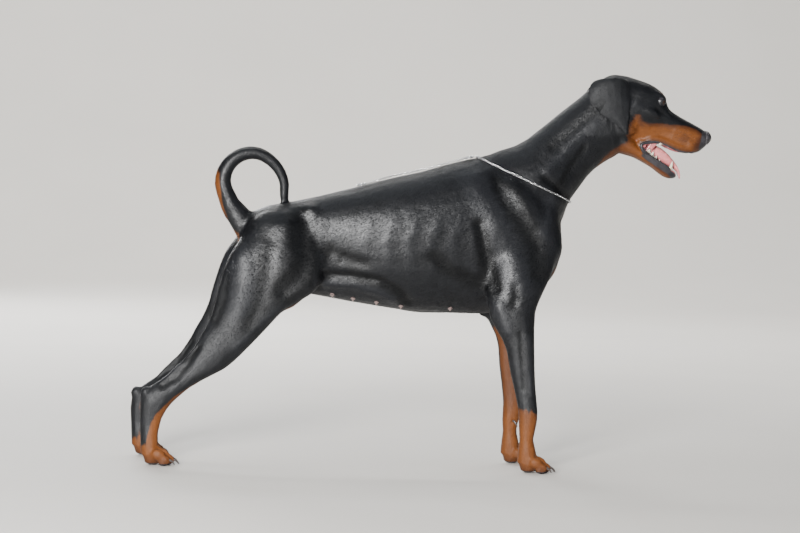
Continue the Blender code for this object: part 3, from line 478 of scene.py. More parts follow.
# The tan of the muzzle and throat as an outline, and of the tail as a line, x and z.
MUZZLE_TAN = ((592, 727), (577, 738), (561, 743), (540, 746), (518, 745), (502, 748), (480, 747),
              (466, 745), (455, 746), (456, 757), (449, 767), (440, 764), (431, 749), (426, 736),
              (425, 722), (428, 708), (412, 697), (394, 686), (378, 669), (366, 652), (352, 626),
              (366, 600), (600, 560), (660, 700))
TAIL_TAN = ((-449, 615), (-444, 584), (-436, 542), (-420, 500), (-404, 467))
# Round patches of tan, each with its middle and radii: over the eye, two on the chest, under the tail.
TAN_PATCHES = (((499, 23, 807), (10, 10, 8.5)), ((283, 30, 448), (40, 12, 24)),
               ((275, 36, 430), (40, 14, 15)), ((-392, 0, 478), (16, 15, 22)))
# The edges of the lips on one side, from their corner forward: s, t and y.
UPPER_LIP = ((-9, -101, 31.5), (2, -89.5, 31), (14, -81.5, 29.5), (30, -76.5, 28.5),
             (52, -74, 27.5), (70, -70.5, 26), (85, -63.5, 23), (95, -57, 18), (102, -51.5, 9),
             (103.5, -50, 0))
LOWER_LIP = ((-9, -106, 33), (4, -111.5, 31.5), (20, -113, 29.5), (42, -113, 27), (62, -112, 24),
             (78, -112, 20.5), (88, -114, 14), (94, -117, 6), (95, -117.5, 0))
# The teeth on one side: s, t of the gum, t of the tip, y and half width.
LOWER_TEETH = ((2, -112, -99.5, 23.4, 4.8), (13, -112.5, -96.0, 22.4, 5.8),
               (24, -113, -101.0, 21.2, 4.6), (35, -113.5, -103.5, 20.0, 4.0),
               (45, -114, -106.5, 19.0, 3.0), (75, -114.5, -95.0, 17.2, 4.4),
               (86.0, -116, -108.5, 7.6, 2.3), (87.8, -116.5, -108.5, 2.6, 2.3))
UPPER_TEETH = ((12, -74, -86.5, 24.4, 4.8), (26, -71, -83.5, 23.4, 5.8),
               (40, -67, -76.0, 22.4, 4.4), (52, -65, -72.0, 21.2, 3.6),
               (87, -59, -68.5, 18.0, 4.2), (96.5, -53, -59.0, 8.2, 2.6),
               (98.0, -53, -58.5, 2.9, 2.6))


def head_axes(spots):
    """Each point along the head's axes: s forward and t up."""
    c = math.cos(HEAD_PITCH)
    k = math.sin(HEAD_PITCH)
    x = spots[:, 0] - STOP[0]
    z = spots[:, 2] - STOP[1]
    return x * c + z * k, z * c - x * k


def zones(spots):
    """How much each point belongs to the head, neck, tail, fore and hind legs."""
    x, z = spots[:, 0], spots[:, 2]
    tail = ramp(-x, 250, 275) * ramp(z - 545 + 0.55 * (RING[0] - x) * (x < RING[0]), 0, 16)
    head = ramp(x - NAPE[0] + (z - NAPE[1]) * NAPE_SLOPE, -16, 22)
    run = np.array((CHAIN_LOW[0] - CHAIN_TOP[0], CHAIN_LOW[1] - CHAIN_TOP[1]))
    ahead = ((x - CHAIN_TOP[0]) * -run[1] + (z - CHAIN_TOP[1]) * run[0]) / np.hypot(*run)
    neck = ramp(ahead, -20, 40) * (1 - head)
    fore = ramp(-z, -395, -300) * ramp(x, 20, 60)
    hind = ramp(-z, -470, -330) * ramp(-x, 190, 260)
    return {"head": head, "neck": neck, "tail": tail, "fore": fore, "hind": hind}


def ear_share(spots):
    """1 on the ears, 0 elsewhere."""
    out = np.zeros(len(spots))
    for name, side in SIDES:
        low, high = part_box("ear_" + name)
        low = drawn(np.array(low))
        high = drawn(np.array(high))
        inner = side * spots[:, 1] - min(abs(low[1]), abs(high[1]))
        in_box = ramp(spots[:, 0], low[0] - 2, low[0] + 2) * ramp(-spots[:, 0], -high[0] - 2, -high[0] + 2)
        in_box *= ramp(spots[:, 2], low[2] - 2, low[2] + 2)
        out = np.maximum(out, in_box * ramp(inner, 12, 20))
    return out


def tan_share(spots):
    """1 where the coat is tan, 0 where it is black."""
    x, y, z = spots.T
    flank = np.abs(y)
    side = np.stack((x, z), axis=1)
    even = np.stack((x, flank, z), axis=1)
    marks = [ramp(depth_inside(side, MUZZLE_TAN), -5, 6)]
    marks += [ball(even, middle, radii) for middle, radii in TAN_PATCHES]

    inner = ramp(FORE_Y - flank, 3, 12)
    border = 134 + 165 * inner - 0.3 * (x - 220) * (1 - inner)
    marks.append(ramp(border - z, -4, 5) * ramp(x, 100, 130))

    heights = [p[0] for p in HIND_FRONT[::-1]]
    edge = np.interp(z, heights, [p[1] for p in HIND_FRONT[::-1]])
    band = np.interp(z, (26, 46, 100, 140, 175, 205), (60, 28, 22, 15, 8, -6))
    hind = ramp(x - (edge - band), -3, 4) * ramp(-z, -215, -190)
    inside = ramp(HIND_Y - 12 - flank, 0, 10) * ramp(-z, -395, -330)
    inside *= ramp(x - edge + 70 + 0.2 * (z - 200), -6, 10)
    foot = ramp(-z, -32, -22)
    marks.append(np.maximum.reduce((hind, inside, foot)) * ramp(-x, 240, 280))

    tail = (1 - ramp(line_gap(side, TAIL_TAN), 5, 11)) * ramp(-x, 380, 392)
    marks.append(tail * ramp(z, 466, 480))
    return np.maximum.reduce(marks)


def shade_share(spots):
    """1 where the tan is darkened: by black hairs at the nose, the lips, the chin and the borders, and
    also on the whisker pad, towards the throat and on the legs, most near the floor.
    """
    x, z = spots[:, 0], spots[:, 2]
    s, t = head_axes(spots)
    side = np.stack((x, z), axis=1)
    dark = np.zeros(len(spots))
    near = x > HEAD_X
    face = spots[near]
    depth = depth_inside(side[near], MUZZLE_TAN)
    edge = 0.8 * (1 - ramp(depth, 2, 13))
    tip = ramp(s[near], 78, 98) * ramp(t[near], -64, -40)
    lips = 0.75 * (1 - ramp(lip_gap(face, UPPER_LIP), 3, 10))
    chin = 0.9 * (1 - ramp(lip_gap(face, LOWER_LIP, -7), 5, 15)) * ramp(s[near], 10, 60)
    pad = 0.55 * (1 - ramp(np.hypot(s[near] - 62, t[near] + 42), 6, 15))
    throat = 0.55 * ramp(-x[near], -470, -400)
    dark[near] = np.maximum.reduce((edge, tip, lips, chin, pad, throat))
    # Darker near the floor and in a band higher up the legs.
    legs = 0.7 * (1 - ramp(z, 0, 30)) + 0.5 * ramp(z, 90, 150) * ramp(-z, -330, -260)
    return np.maximum(dark, legs * (z < 330))


def mouth_depth(spots):
    """How far each point lies inside the mouth, in mm; less than 0 outside it."""
    s, t = head_axes(spots)
    half = np.interp(s, (-22, -4, 14, 50, 84, 99), (24, 28.0, 28.2, 25.8, 21.5, 14))
    inner = half - np.abs(spots[:, 1])
    roof = np.interp(s, (-22, -4, 14, 50, 84, 99), (-82, -72, -62, -61, -57, -55)) + 4
    front = np.where(t < -90, 90.0, 99.0)
    ends = np.minimum(s + 25, front - s)
    floor = t - np.interp(s, (-22, 40, 84), (-118, -119, -116))
    return np.minimum(np.minimum(inner, ends), np.minimum(roof - t, floor))


def lip_gap(spots, line, lift=0.0):
    """How far each point is from the edge of a lip, in mm."""
    gaps = [line_gap(spots, [head_spot(s, t + lift, side * y) for s, t, y in line]) for side in (-1, 1)]
    return np.minimum(*gaps)


def teat_share(spots):
    """1 on the teats under the belly."""
    x, y, z = spots.T
    out = np.zeros(len(spots))
    for forward, aside in TEATS:
        away = np.hypot(x - forward, np.abs(y) - aside)
        out = np.maximum(out, (1 - ramp(away, 4.0, 6.5)) * ramp(-z, -400, -385))
    return out


def bare_share(spots):
    """1 on the black skin of lips, lids, nose edge, pads and teats."""
    s, t = head_axes(spots)
    near = spots[:, 0] > HEAD_X
    bare = np.zeros(len(spots))
    face = spots[near]
    lower = 1 - ramp(lip_gap(face, LOWER_LIP), 4.6, 6.8)
    under = (1 - ramp(lip_gap(face, LOWER_LIP, -6), 5.5, 8.5)) * ramp(s[near], -6, 12)
    upper = 1 - ramp(lip_gap(face, UPPER_LIP, -1.5), 3.4, 5.2)
    rims = np.zeros(len(face))
    for side in (-1, 1):
        centre = np.array(head_spot(EYE[0], EYE[1], side * EYE[2]))
        away = np.linalg.norm(face - centre, axis=1)
        rims = np.maximum(rims, 1 - ramp(away, EYE_R / MM + 0.4, EYE_R / MM + 1.9))
    nose = ramp(s[near] + 0.35 * t[near], 84, 89) * ramp(t[near], -46, -40)
    bare[near] = np.maximum.reduce((lower, under, upper, rims, nose))
    pads = 1 - ramp(spots[:, 2], 3.0, 7.0)
    return np.maximum.reduce((bare, pads, teat_share(spots)))


def turned(lie, way, share):
    """The ways the hair points, turned to this way as far as the share says."""
    return lie * (1 - share[:, None]) + np.array(way) * share[:, None]


def hair_lie(spots, normals):
    """The way the hair points along the skin, and 1 where it lies flat or 0 where it would stand."""
    share = zones(spots)
    x, y, z = spots.T
    count = len(spots)
    side = np.sign(y)
    lie = np.tile((-1.0, 0.0, -0.28), (count, 1))
    chest = ramp(x, 190, 270) * (1 - share["head"]) * ramp(-z, -620, -500)
    lie = turned(lie, (-0.15, 0.0, -1.0), chest)
    lie = turned(lie, (-0.78, 0.0, -0.62), share["neck"])
    crown = np.array((-math.cos(HEAD_PITCH), 0, -math.sin(HEAD_PITCH)))
    face = turned(crown, (-0.92, 0, -0.15), ramp(-head_axes(spots)[0], 10, 70))
    lie = turned(lie, face, share["head"])
    lie = turned(lie, (0.12, 0, -1.0), ear_share(spots))
    lie = turned(lie, (-0.18, 0, -1.0), share["fore"])
    slope = np.interp(z, (0, 120, 170, 300, 420), (0.0, -0.1, -0.9, -0.75, -0.4))
    leg = np.stack((slope, np.zeros(count), np.full(count, -1.0)), axis=1)
    lie = turned(lie, leg, share["hind"])
    around = np.stack((z - RING[1], np.zeros(count), RING[0] - x), axis=1)
    around /= np.linalg.norm(around, axis=1)[:, None] + 1e-9
    lie = turned(lie, around, share["tail"])
    lie[:, 1] += side * 0.06
    lie /= np.linalg.norm(lie, axis=1)[:, None]
    lie -= normals * np.sum(lie * normals, axis=1)[:, None]
    flat = np.linalg.norm(lie, axis=1)
    return lie / (flat[:, None] + 1e-9), flat


# Materials


class Paint:
    """Makes the nodes of one material."""

    def __init__(self, name):
        self.material = bpy.data.materials.new(name)
        self.material.use_nodes = True
        self.tree = self.material.node_tree
        self.shader = self.tree.nodes["Principled BSDF"]
        self.place = self.node("TexCoord").outputs["Object"]

    def node(self, kind, **values):
        """A new node with these properties."""
        made = self.tree.nodes.new("ShaderNode" + kind)
        for key, value in values.items():
            setattr(made, key, value)
        return made

    def feed(self, socket, value):
        """Links an output to the socket, or sets its value."""
        if isinstance(value, bpy.types.NodeSocket):
            self.tree.links.new(value, socket)
        elif socket.type == "RGBA" and len(value) == 3:
            socket.default_value = (*value, 1.0)
        else:
            socket.default_value = value

    def noise(self, scale, detail=3.0, rough=0.55, stretch=None, turn=0.0, kind="TexNoise"):
        """Noise in the object's own space, stretched and turned about Y where that is given."""
        where = self.place
        if stretch:
            mapping = self.node("Mapping")
            mapping.inputs["Rotation"].default_value = (0, turn, 0)
            self.feed(mapping.inputs["Vector"], where)
            scaled = self.node("Mapping")
            scaled.inputs["Scale"].default_value = stretch
            self.feed(scaled.inputs["Vector"], mapping.outputs[0])
            where = scaled.outputs[0]
        made = self.node(kind)
        made.inputs["Scale"].default_value = scale
        self.feed(made.inputs["Vector"], where)
        if kind == "TexNoise":
            made.inputs["Detail"].default_value = detail
            made.inputs["Roughness"].default_value = rough
            return made.outputs["Fac"]
        return made.outputs["Distance"]

    def given(self, name):
        """What the mesh stores under this name."""
        return self.node("Attribute", attribute_name=name).outputs["Fac"]

    def sum(self, a, b, kind="ADD"):
        """The sum of a and b, or the result of another kind of sum."""
        made = self.node("Math", operation=kind)
        self.feed(made.inputs[0], a)
        self.feed(made.inputs[1], b)
        return made.outputs[0]

    def times(self, a, b):
        return self.sum(a, b, "MULTIPLY")

    def span(self, value, low, high, start=0.0, end=1.0):
        """The value between low and high, moved to lie between start and end."""
        made = self.node("MapRange", clamp=True)
        self.feed(made.inputs["Value"], value)
        made.inputs["From Min"].default_value = low
        made.inputs["From Max"].default_value = high
        made.inputs["To Min"].default_value = start
        made.inputs["To Max"].default_value = end
        return made.outputs[0]

    def mix(self, share, a, b):
        """A colour between a and b."""
        made = self.node("Mix", data_type="RGBA")
        self.feed(made.inputs[0], share)
        self.feed(made.inputs[6], a)
        self.feed(made.inputs[7], b)
        return made.outputs[2]

    def blend(self, share, a, b):
        """A number between a and b."""
        made = self.node("Mix", data_type="FLOAT")
        self.feed(made.inputs[0], share)
        self.feed(made.inputs[2], a)
        self.feed(made.inputs[3], b)
        return made.outputs[0]

    def bump(self, height, distance, strength, under=None):
        """A fine relief, over another one where that is given."""
        made = self.node("Bump")
        made.inputs["Distance"].default_value = distance
        made.inputs["Strength"].default_value = strength
        self.feed(made.inputs["Height"], height)
        if under:
            self.feed(made.inputs["Normal"], under)
        return made.outputs[0]

    def set(self, **values):
        """Sets the shader's sockets; an underscore stands for a space."""
        for key, value in values.items():
            self.feed(self.shader.inputs[key.replace("_", " ")], value)
        return self.material


def times_colour(colour, share):
    """The colour, darkened or lightened by this share."""
    return tuple(min(1, share * c) for c in colour)


def coat_finish(coat, head):
    """Short glossy coat with its markings and a painted sheen and shade that follow its relief, and the
    bare skin of lips, lids, pads and mouth.
    """
    paint = Paint("dog_coat")
    broad = paint.noise(9.0, 3.0)
    mottle = paint.noise(62.0, 3.0, 0.6)
    speck = paint.noise(420.0, 2.0)
    grains = []
    for turn in (-0.27, -0.67, 0.53, -1.5):
        grains.append(paint.noise(1.0, 2.0, 0.6, (90.0, 1150.0, 1150.0), turn))
    grain = grains[0]
    for name, other in zip(("neck", "head", "leg"), grains[1:]):
        grain = paint.blend(paint.given(name), grain, other)
    ragged = paint.sum(paint.sum(grain, mottle), -1.0)
    tan = paint.sum(paint.given("tan"), paint.times(ragged, 0.42))
    tan = paint.span(tan, 0.32, 0.72)
    tone = paint.times(paint.sum(broad, mottle), 0.5)
    # Painted highlight and shade: the relief of the muscles lightens the black towards the sheen colour on
    # ridges and leaves it darkest in hollows, mixed with random tone.
    relief = paint.span(paint.given("form"), -3.0, 3.0)
    light = paint.sum(paint.times(tone, 0.5), paint.times(relief, 0.5))
    black = paint.mix(paint.span(light, 0.36, 0.66), coat.black, coat.sheen_and_tone_black)
    rust = paint.mix(paint.span(tone, 0.34, 0.64), coat.tan, times_colour(coat.tan, 1.25))
    rust = paint.mix(paint.times(paint.span(grain, 0.4, 0.75), 0.5), rust, coat.deep_tan)
    rust = paint.mix(paint.given("shade"), rust, times_colour(coat.deep_tan, 0.8))
    hair = paint.mix(tan, black, rust)
    bare = paint.span(paint.given("bare"), 0.35, 0.65)
    skin = paint.mix(paint.span(mottle, 0.35, 0.7), head.leather, times_colour(head.leather, 2.2))
    skin = paint.mix(paint.given("teat"), skin, head.teat)
    wet = paint.span(paint.given("mouth"), 0.35, 0.65)
    gum = paint.mix(paint.span(mottle, 0.3, 0.75), head.gum, times_colour(head.gum, 1.35))
    colour = paint.mix(wet, paint.mix(bare, hair, skin), gum)

    pebbles = paint.noise(900.0, kind="TexVoronoi")
    height = paint.blend(bare, grain, paint.times(pebbles, 0.5))
    height = paint.blend(wet, height, paint.times(mottle, 0.4))
    lumps = paint.bump(mottle, 0.0030, 0.35)
    rough = paint.span(grain, 0.3, 0.75, 0.34, 0.48)
    rough = paint.sum(rough, paint.times(tan, 0.10))
    rough = paint.sum(rough, paint.times(paint.given("leg"), 0.14))
    rough = paint.sum(rough, paint.times(paint.given("ear"), 0.22))
    rough = paint.blend(bare, rough, paint.span(speck, 0.3, 0.7, 0.3, 0.42))
    rough = paint.blend(wet, rough, paint.span(speck, 0.3, 0.7, 0.14, 0.26))
    return paint.set(Base_Color=colour, Roughness=rough, Specular_IOR_Level=0.28,
                     Specular_Tint=(0.93, 0.96, 1.0), Sheen_Weight=0.006, Sheen_Roughness=0.4,
                     Sheen_Tint=(0.62, 0.7, 0.85), Normal=paint.bump(height, 0.0006, 0.32, lumps))


def eye_finish(head):
    """A black pupil, a dark brown iris and a little dark white, by the angle from the look axis."""
    paint = Paint("dog_eye")
    turn = paint.given("turn")
    fibre = paint.noise(1500.0, 3.0)
    iris = paint.mix(paint.span(fibre, 0.3, 0.7), times_colour(head.iris, 0.5), head.iris)
    iris = paint.mix(paint.span(turn, 0.56, 0.68), iris, (0.006, 0.004, 0.003))
    white = paint.mix(paint.span(paint.noise(500.0), 0.4, 0.7), (0.05, 0.03, 0.025), (0.035, 0.018, 0.015))
    colour = paint.mix(paint.span(turn, 0.74, 0.84), iris, white)
    colour = paint.mix(paint.span(turn, 0.24, 0.28), (0.001, 0.001, 0.0015), colour)
    return paint.set(Base_Color=colour, Roughness=0.3, Specular_IOR_Level=0.35, Coat_Weight=0.3,
                     Coat_Roughness=0.08)


def nose_finish(head):
    """Black leather of small raised cells, slightly moist."""
    paint = Paint("nose_leather")
    cells = paint.noise(720.0, kind="TexVoronoi")
    tone = paint.noise(160.0, 3.0)
    colour = paint.mix(paint.span(tone, 0.35, 0.7), head.leather, times_colour(head.leather, 2.8))
    deep = paint.span(cells, 0.1, 0.5, 1.0, 0.0)
    return paint.set(Base_Color=colour, Roughness=paint.span(tone, 0.3, 0.7, 0.26, 0.42),
                     Specular_IOR_Level=0.6, Coat_Weight=0.25, Coat_Roughness=0.25,
                     Normal=paint.bump(deep, 0.0004, 0.7))


def tongue_finish(head):
    """Wet pink flesh with fine buds, darkened along its groove as painted shade."""
    paint = Paint("tongue_flesh")
    tone = paint.noise(120.0, 3.0)
    buds = paint.noise(1100.0, kind="TexVoronoi")
    colour = paint.mix(paint.span(tone, 0.3, 0.7), head.tongue, times_colour(head.tongue, 1.25))
    # Painted shade: the groove down the middle of the tongue is darkened.
    groove = paint.span(paint.given("groove"), 0.0, 1.0)
    colour = paint.mix(groove, colour, times_colour(head.tongue, 0.55))
    return paint.set(Base_Color=colour, Roughness=paint.span(tone, 0.3, 0.7, 0.2, 0.34),
                     Subsurface_Weight=0.2, Subsurface_Radius=(0.004, 0.0015, 0.001),
                     Subsurface_Scale=0.6, Coat_Weight=0.4, Coat_Roughness=0.12,
                     Normal=paint.bump(paint.span(buds, 0.0, 0.5, 1.0, 0.0), 0.0003, 0.6))


def tooth_finish(head):
    """Enamel that is stained towards the gum."""
    paint = Paint("tooth_enamel")
    rise = paint.given("rise")
    tone = paint.noise(300.0, 2.0)
    stain = tuple(c * k for c, k in zip(head.tooth, (0.78, 0.66, 0.48)))
    share = paint.sum(rise, paint.times(paint.sum(tone, -0.5), 0.3))
    colour = paint.mix(paint.span(share, 0.1, 0.55), stain, head.tooth)
    return paint.set(Base_Color=colour, Roughness=paint.span(tone, 0.3, 0.7, 0.18, 0.3),
                     Subsurface_Weight=0.1, Subsurface_Radius=(0.002, 0.0015, 0.001),
                     Subsurface_Scale=0.5, Coat_Weight=0.3, Coat_Roughness=0.08)


def claw_finish(head):
    """Black horn with fine streaks along it."""
    paint = Paint("claw_horn")
    streak = paint.noise(1.0, 3.0, 0.6, (300.0, 1400.0, 1400.0), 0.6)
    colour = paint.mix(paint.span(streak, 0.35, 0.7), head.claw, times_colour(head.claw, 3.2))
    return paint.set(Base_Color=colour, Roughness=paint.span(streak, 0.3, 0.7, 0.28, 0.46),
                     Specular_IOR_Level=0.5, Normal=paint.bump(streak, 0.0002, 0.5))


def whisker_finish():
    """Black to dark brown hair."""
    paint = Paint("whisker_hair")
    tone = paint.noise(90.0, 2.0)
    colour = paint.mix(tone, (0.010, 0.009, 0.009), (0.035, 0.03, 0.028))
    return paint.set(Base_Color=colour, Roughness=0.4)


def steel_finish(chain):
    """Polished steel with fine marks of wear."""
    paint = Paint("chain_steel")
    tone = paint.noise(260.0, 3.0)
    marks = paint.noise(2600.0, 2.0)
    colour = paint.mix(paint.span(tone, 0.35, 0.7), times_colour(chain.steel, 0.72), chain.steel)
    return paint.set(Base_Color=colour, Metallic=1.0, Roughness=paint.span(tone, 0.3, 0.7, 0.16, 0.32),
                     Normal=paint.bump(marks, 0.00005, 0.4))


def floor_finish(stage):
    """Matt pale paint."""
    paint = Paint("studio_floor")
    tone = paint.noise(1.3, 4.0)
    grit = paint.noise(220.0, 2.0)
    colour = paint.mix(paint.span(tone, 0.3, 0.7), stage.floor, times_colour(stage.floor, 1.05))
    return paint.set(Base_Color=colour, Roughness=paint.span(grit, 0.3, 0.7, 0.62, 0.78),
                     Normal=paint.bump(grit, 0.0002, 0.3))


# The skin


def smoothing(spots):
    """How strongly each point of the rough skin is smoothed."""
    share = zones(spots)
    x, y, z = spots.T
    keep = np.maximum(share["head"] * 0.90, share["tail"] * 0.75)
    keep = np.maximum(keep, share["neck"] * 0.15)
    keep = np.maximum(keep, np.interp(z, (50, 70, 200, 330, 420), (0.93, 0.8, 0.72, 0.5, 0)))
    near = x > EARS_X
    keep[near] = np.maximum(keep[near], 0.94 * ear_share(spots[near]))
    for forward, aside in TEATS:
        for side in (-1, 1):
            away = np.hypot(x - forward, y - side * aside)
            keep = np.maximum(keep, 0.9 * (1 - ramp(away, 7, 12)) * ramp(-z, -370, -350))
    return 1 - keep


def wave(gap, width):
    """A smooth hump, 1 at no gap and near 0 at twice the width."""
    return np.exp(-(gap / width) ** 2)


def form(spots, normals):
    """How far the muscles, ribs, tendons and folds move each point out, in mm."""
    out = np.zeros(len(spots))
    x, y, z = spots.T
    flank = ramp(np.abs(normals[:, 1]), 0.25, 0.75)
    side = np.stack((x, z), axis=1)
    share = zones(spots)
    body = (1 - share["head"]) * (1 - share["tail"])
    for high, width, line in SIDE_LINES:
        out += RELIEF * high * wave(line_gap(side, line), width) * flank * body
    for k in range(RIBS):
        middle = RIB_X - RIB_GAP * k
        line = ((middle + 22, 560), (middle, 480), (middle + 6, 410))
        out += 0.9 * wave(line_gap(side, line), 11) * flank * ramp(-z, -560, -500) * ramp(z, 390, 430)
    evenly = np.stack((np.abs(y), z), axis=1)
    ahead = ramp(normals[:, 0], 0.15, 0.7) * ramp(x, 180, 230) * (1 - share["head"])
    for high, width, line in FRONT_LINES:
        out += high * wave(line_gap(evenly, line), width) * ahead
    behind = ramp(-normals[:, 0], 0.1, 0.6) * ramp(-x, 330, 370) * (1 - share["tail"])
    for high, width, line in REAR_LINES:
        out += high * wave(line_gap(evenly, line), width) * behind
    keel = ramp(-normals[:, 2], 0.4, 0.8) * ramp(-z, -420, -380) * ramp(x, -60, 0)
    out += 2.0 * wave(y, 10) * keel
    spine = ramp(normals[:, 2], 0.5, 0.9) * ramp(z, 500, 540) * (1 - share["head"])
    out -= 1.4 * wave(y, 7) * spine * ramp(-x, -60, 40)
    s, t = head_axes(spots)
    face = np.stack((s, t), axis=1)
    cheek = share["head"] * flank
    for high, width, line in FACE_LINES:
        out += high * wave(line_gap(face, line), width) * cheek
    out -= 1.2 * wave(y, 5) * share["head"] * ramp(normals[:, 2], 0.3, 0.8) * ramp(-s, -20, 10)
    out += toes(spots)
    return out


# The grooves between the toes of a foot, in mm from its middle, and where the feet lie along x.
TOE_GROOVES = (-14.2, 0.0, 14.2)
FEET = ((FORE_Y, 205, 330), (HIND_Y, -600, -470))


def toes(spots):
    """How far the grooves between the toes move each point in, in mm, as values less than 0."""
    x, y, z = spots.T
    out = np.zeros(len(spots))
    for middle, low_x, high_x in FEET:
        near = ramp(x, low_x, low_x + 8) * ramp(-x, -high_x - 8, -high_x) * ramp(-z, -46, -34)
        front = ramp(x, low_x + 34, low_x + 48)
        for across in TOE_GROOVES:
            out -= 1.6 * wave(np.abs(y) - middle - across, 1.8) * near * front
    return out


def flat_jaws(spots):
    """Presses the teeth of the CAD jaws back to the gum; new teeth stand there."""
    s, t = head_axes(spots)
    moved = spots.copy()
    gums = []
    for side in (-1, 1):
        for row, up in ((LOWER_TEETH, 1), (UPPER_TEETH, -1)):
            for at, root, tip, aside, wide in row:
                gums.append((at, root, side * aside, wide, up))
    lift = np.array(head_spot(0, 1, 0) - head_spot(0, 0, 0))
    for at, root, aside, wide, up in gums:
        away = np.hypot(s - at, spots[:, 1] - aside)
        proud = up * (t - root)
        share = (1 - ramp(away, wide + 0.8, wide + 2.6)) * (proud > 0) * (proud < 30)
        moved -= (share * proud * up)[:, None] * lift
    return moved


# How far the parts are grown to join, in metres; then the steps of strength in which the skin is
# smoothed, and the rounds it takes where its cells have this size in metres.
GROW = 0.0005
SOFT_LEVELS = 20
SMOOTH_ROUNDS = 70
SMOOTH_CELL = 0.0017


class DOG_OT_skin(bpy.types.Operator):
    """Builds one skin over the trunk, head, legs, ears and tail"""
    bl_idname = "dog.skin"
    bl_label = "Skin"

    def execute(self, context):
        coat = context.scene.dog_coat
        body = merged_copy("skin", FLESH, GROW)
        self.fill_face(body)
        apply(body, "REMESH", mode="VOXEL", voxel_size=coat.voxel)
        group = body.vertex_groups.new(name="soft")
        soft = smoothing(drawn(corners_of(body)))
        for level in range(1, SOFT_LEVELS + 1):
            picked = np.flatnonzero(np.round(soft * SOFT_LEVELS).astype(int) == level)
            if len(picked):
                group.add(picked.tolist(), level / SOFT_LEVELS, "REPLACE")
        rounds = int(SMOOTH_ROUNDS * (SMOOTH_CELL / coat.voxel) ** 2)
        apply(body, "SMOOTH", factor=0.5, iterations=rounds, vertex_group="soft")
        body.vertex_groups.clear()
        spots = drawn(corners_of(body))
        near = spots[:, 0] > JAWS_X
        spots[near] = flat_jaws(spots[near])
        out = form(spots, normals_of(body)) - (coat.depth + GROW) / MM * (1 - self.by_nose(spots))
        spots += normals_of(body) * out[:, None]
        place_drawn(body, spots)
        apply(body, "SMOOTH", factor=0.5, iterations=2)
        body.data.calc_loop_triangles()
        apply(body, "DECIMATE", ratio=min(1.0, coat.triangles / len(body.data.loop_triangles)))
        body.data.shade_smooth()
        self.mark(body)
        choose(body)
        body.data.uv_layers.new(name="OFBake")
        bpy.ops.object.mode_set(mode="EDIT")
        bpy.ops.mesh.select_all(action="SELECT")
        bpy.ops.uv.smart_project(angle_limit=math.radians(66), island_margin=0.001)
        bpy.ops.object.mode_set(mode="OBJECT")
        finish_piece(body, "coat_black", coat_finish(coat, context.scene.dog_head), *FLESH)
        return {"FINISHED"}

    def fill_face(self, body):
        """Joins the jaws inside the cheeks and closes the skin behind the nose leather."""
        mesh = bmesh.new()
        mesh.from_mesh(body.data)
        fills = [((-8, -101, side * 25.5), (12, 6, 13)) for side in (-1, 1)]
        fills.append(((101.2, -15.5, 0), (13.6, 18.4, 15.6)))
        for at, radii in fills:
            place = Matrix.Translation(face_spot(*at)) @ Matrix.Rotation(-HEAD_PITCH, 4, "Y")
            place @= Matrix.Diagonal((*[r * MM for r in radii], 1))
            bmesh.ops.create_icosphere(mesh, subdivisions=3, radius=1.0, matrix=place)
        mesh.to_mesh(body.data)
        mesh.free()

    def by_nose(self, spots):
        """1 at the edge of the nose leather, so that the skin closes round it."""
        share = np.zeros(len(spots))
        s, t = head_axes(spots)
        tree = BVHTree.FromObject(frame["nodes"]["nose"], bpy.context.evaluated_depsgraph_get())
        for k in np.flatnonzero((s > 82) & (t > -50)):
            gap = tree.find_nearest(spot(*spots[k]))[3] / MM
            share[k] = 1 - min(1.0, max(0.0, (gap - 2.5) / 5.0))
        return share

    def mark(self, body):
        """Stores the markings, the relief that paints sheen and shade into the coat's colour, and the
        zones that the coat's material reads.
        """
        spots = drawn(corners_of(body))
        share = zones(spots)
        write(body, "tan", tan_share(spots))
        write(body, "shade", shade_share(spots))
        # The relief is also read by the coat's colour: painted sheen on ridges, painted shade in hollows.
        write(body, "form", form(spots, normals_of(body)))
        write(body, "bare", bare_share(spots))
        write(body, "teat", teat_share(spots))
        inside = np.zeros(len(spots))
        near = spots[:, 0] > MOUTH_X
        inside[near] = ramp(mouth_depth(spots[near]), 0.5, 2.5)
        inward = -normals_of(body)[:, 1] * np.sign(spots[:, 1])
        s, t = head_axes(spots)
        room = (s > -24) & (s < 88) & (t > -117) & (t < -62 - 0.6 * np.maximum(0, 20 - s)) & near
        room &= np.abs(spots[:, 1]) > 12
        inside = np.maximum(inside, ramp(inward, 0.15, 0.4) * room)
        opening = [point[:2] for point in UPPER_LIP + LOWER_LIP[::-1]]
        between = depth_inside(np.stack((s, t), axis=1), opening)
        inside = np.maximum(inside, ramp(between, 1.0, 3.0) * near * (np.abs(spots[:, 1]) < 30.8))
        write(body, "mouth", inside)
        write(body, "neck", share["neck"])
        write(body, "head", share["head"])
        write(body, "ear", ear_share(spots) * (spots[:, 0] > EARS_X))
        write(body, "leg", np.maximum(share["fore"], share["hind"]))


# The coat


# The marks that each lock takes over from the skin at its root; the relief among them paints sheen and
# shade into the lock's colour.
LOCK_MARKS = ("tan", "shade", "form", "neck", "head", "ear", "leg")
PARTS = ("trunk", "tail", "hind", "fore", "neck", "head")
# The pieces of the coat: how many locks, on which part, and on which side where that matters.
COATS = {
    "coat_head": (19000, "head", 0),
    "coat_neck": (15000, "neck", 0),
    "coat_right": (19500, "trunk", -1),
    "coat_left": (19500, "trunk", 1),
    "coat_fore": (14000, "fore", 0),
    "coat_hind": (18000, "hind", 0),
    "coat_tail": (5000, "tail", 0),
}
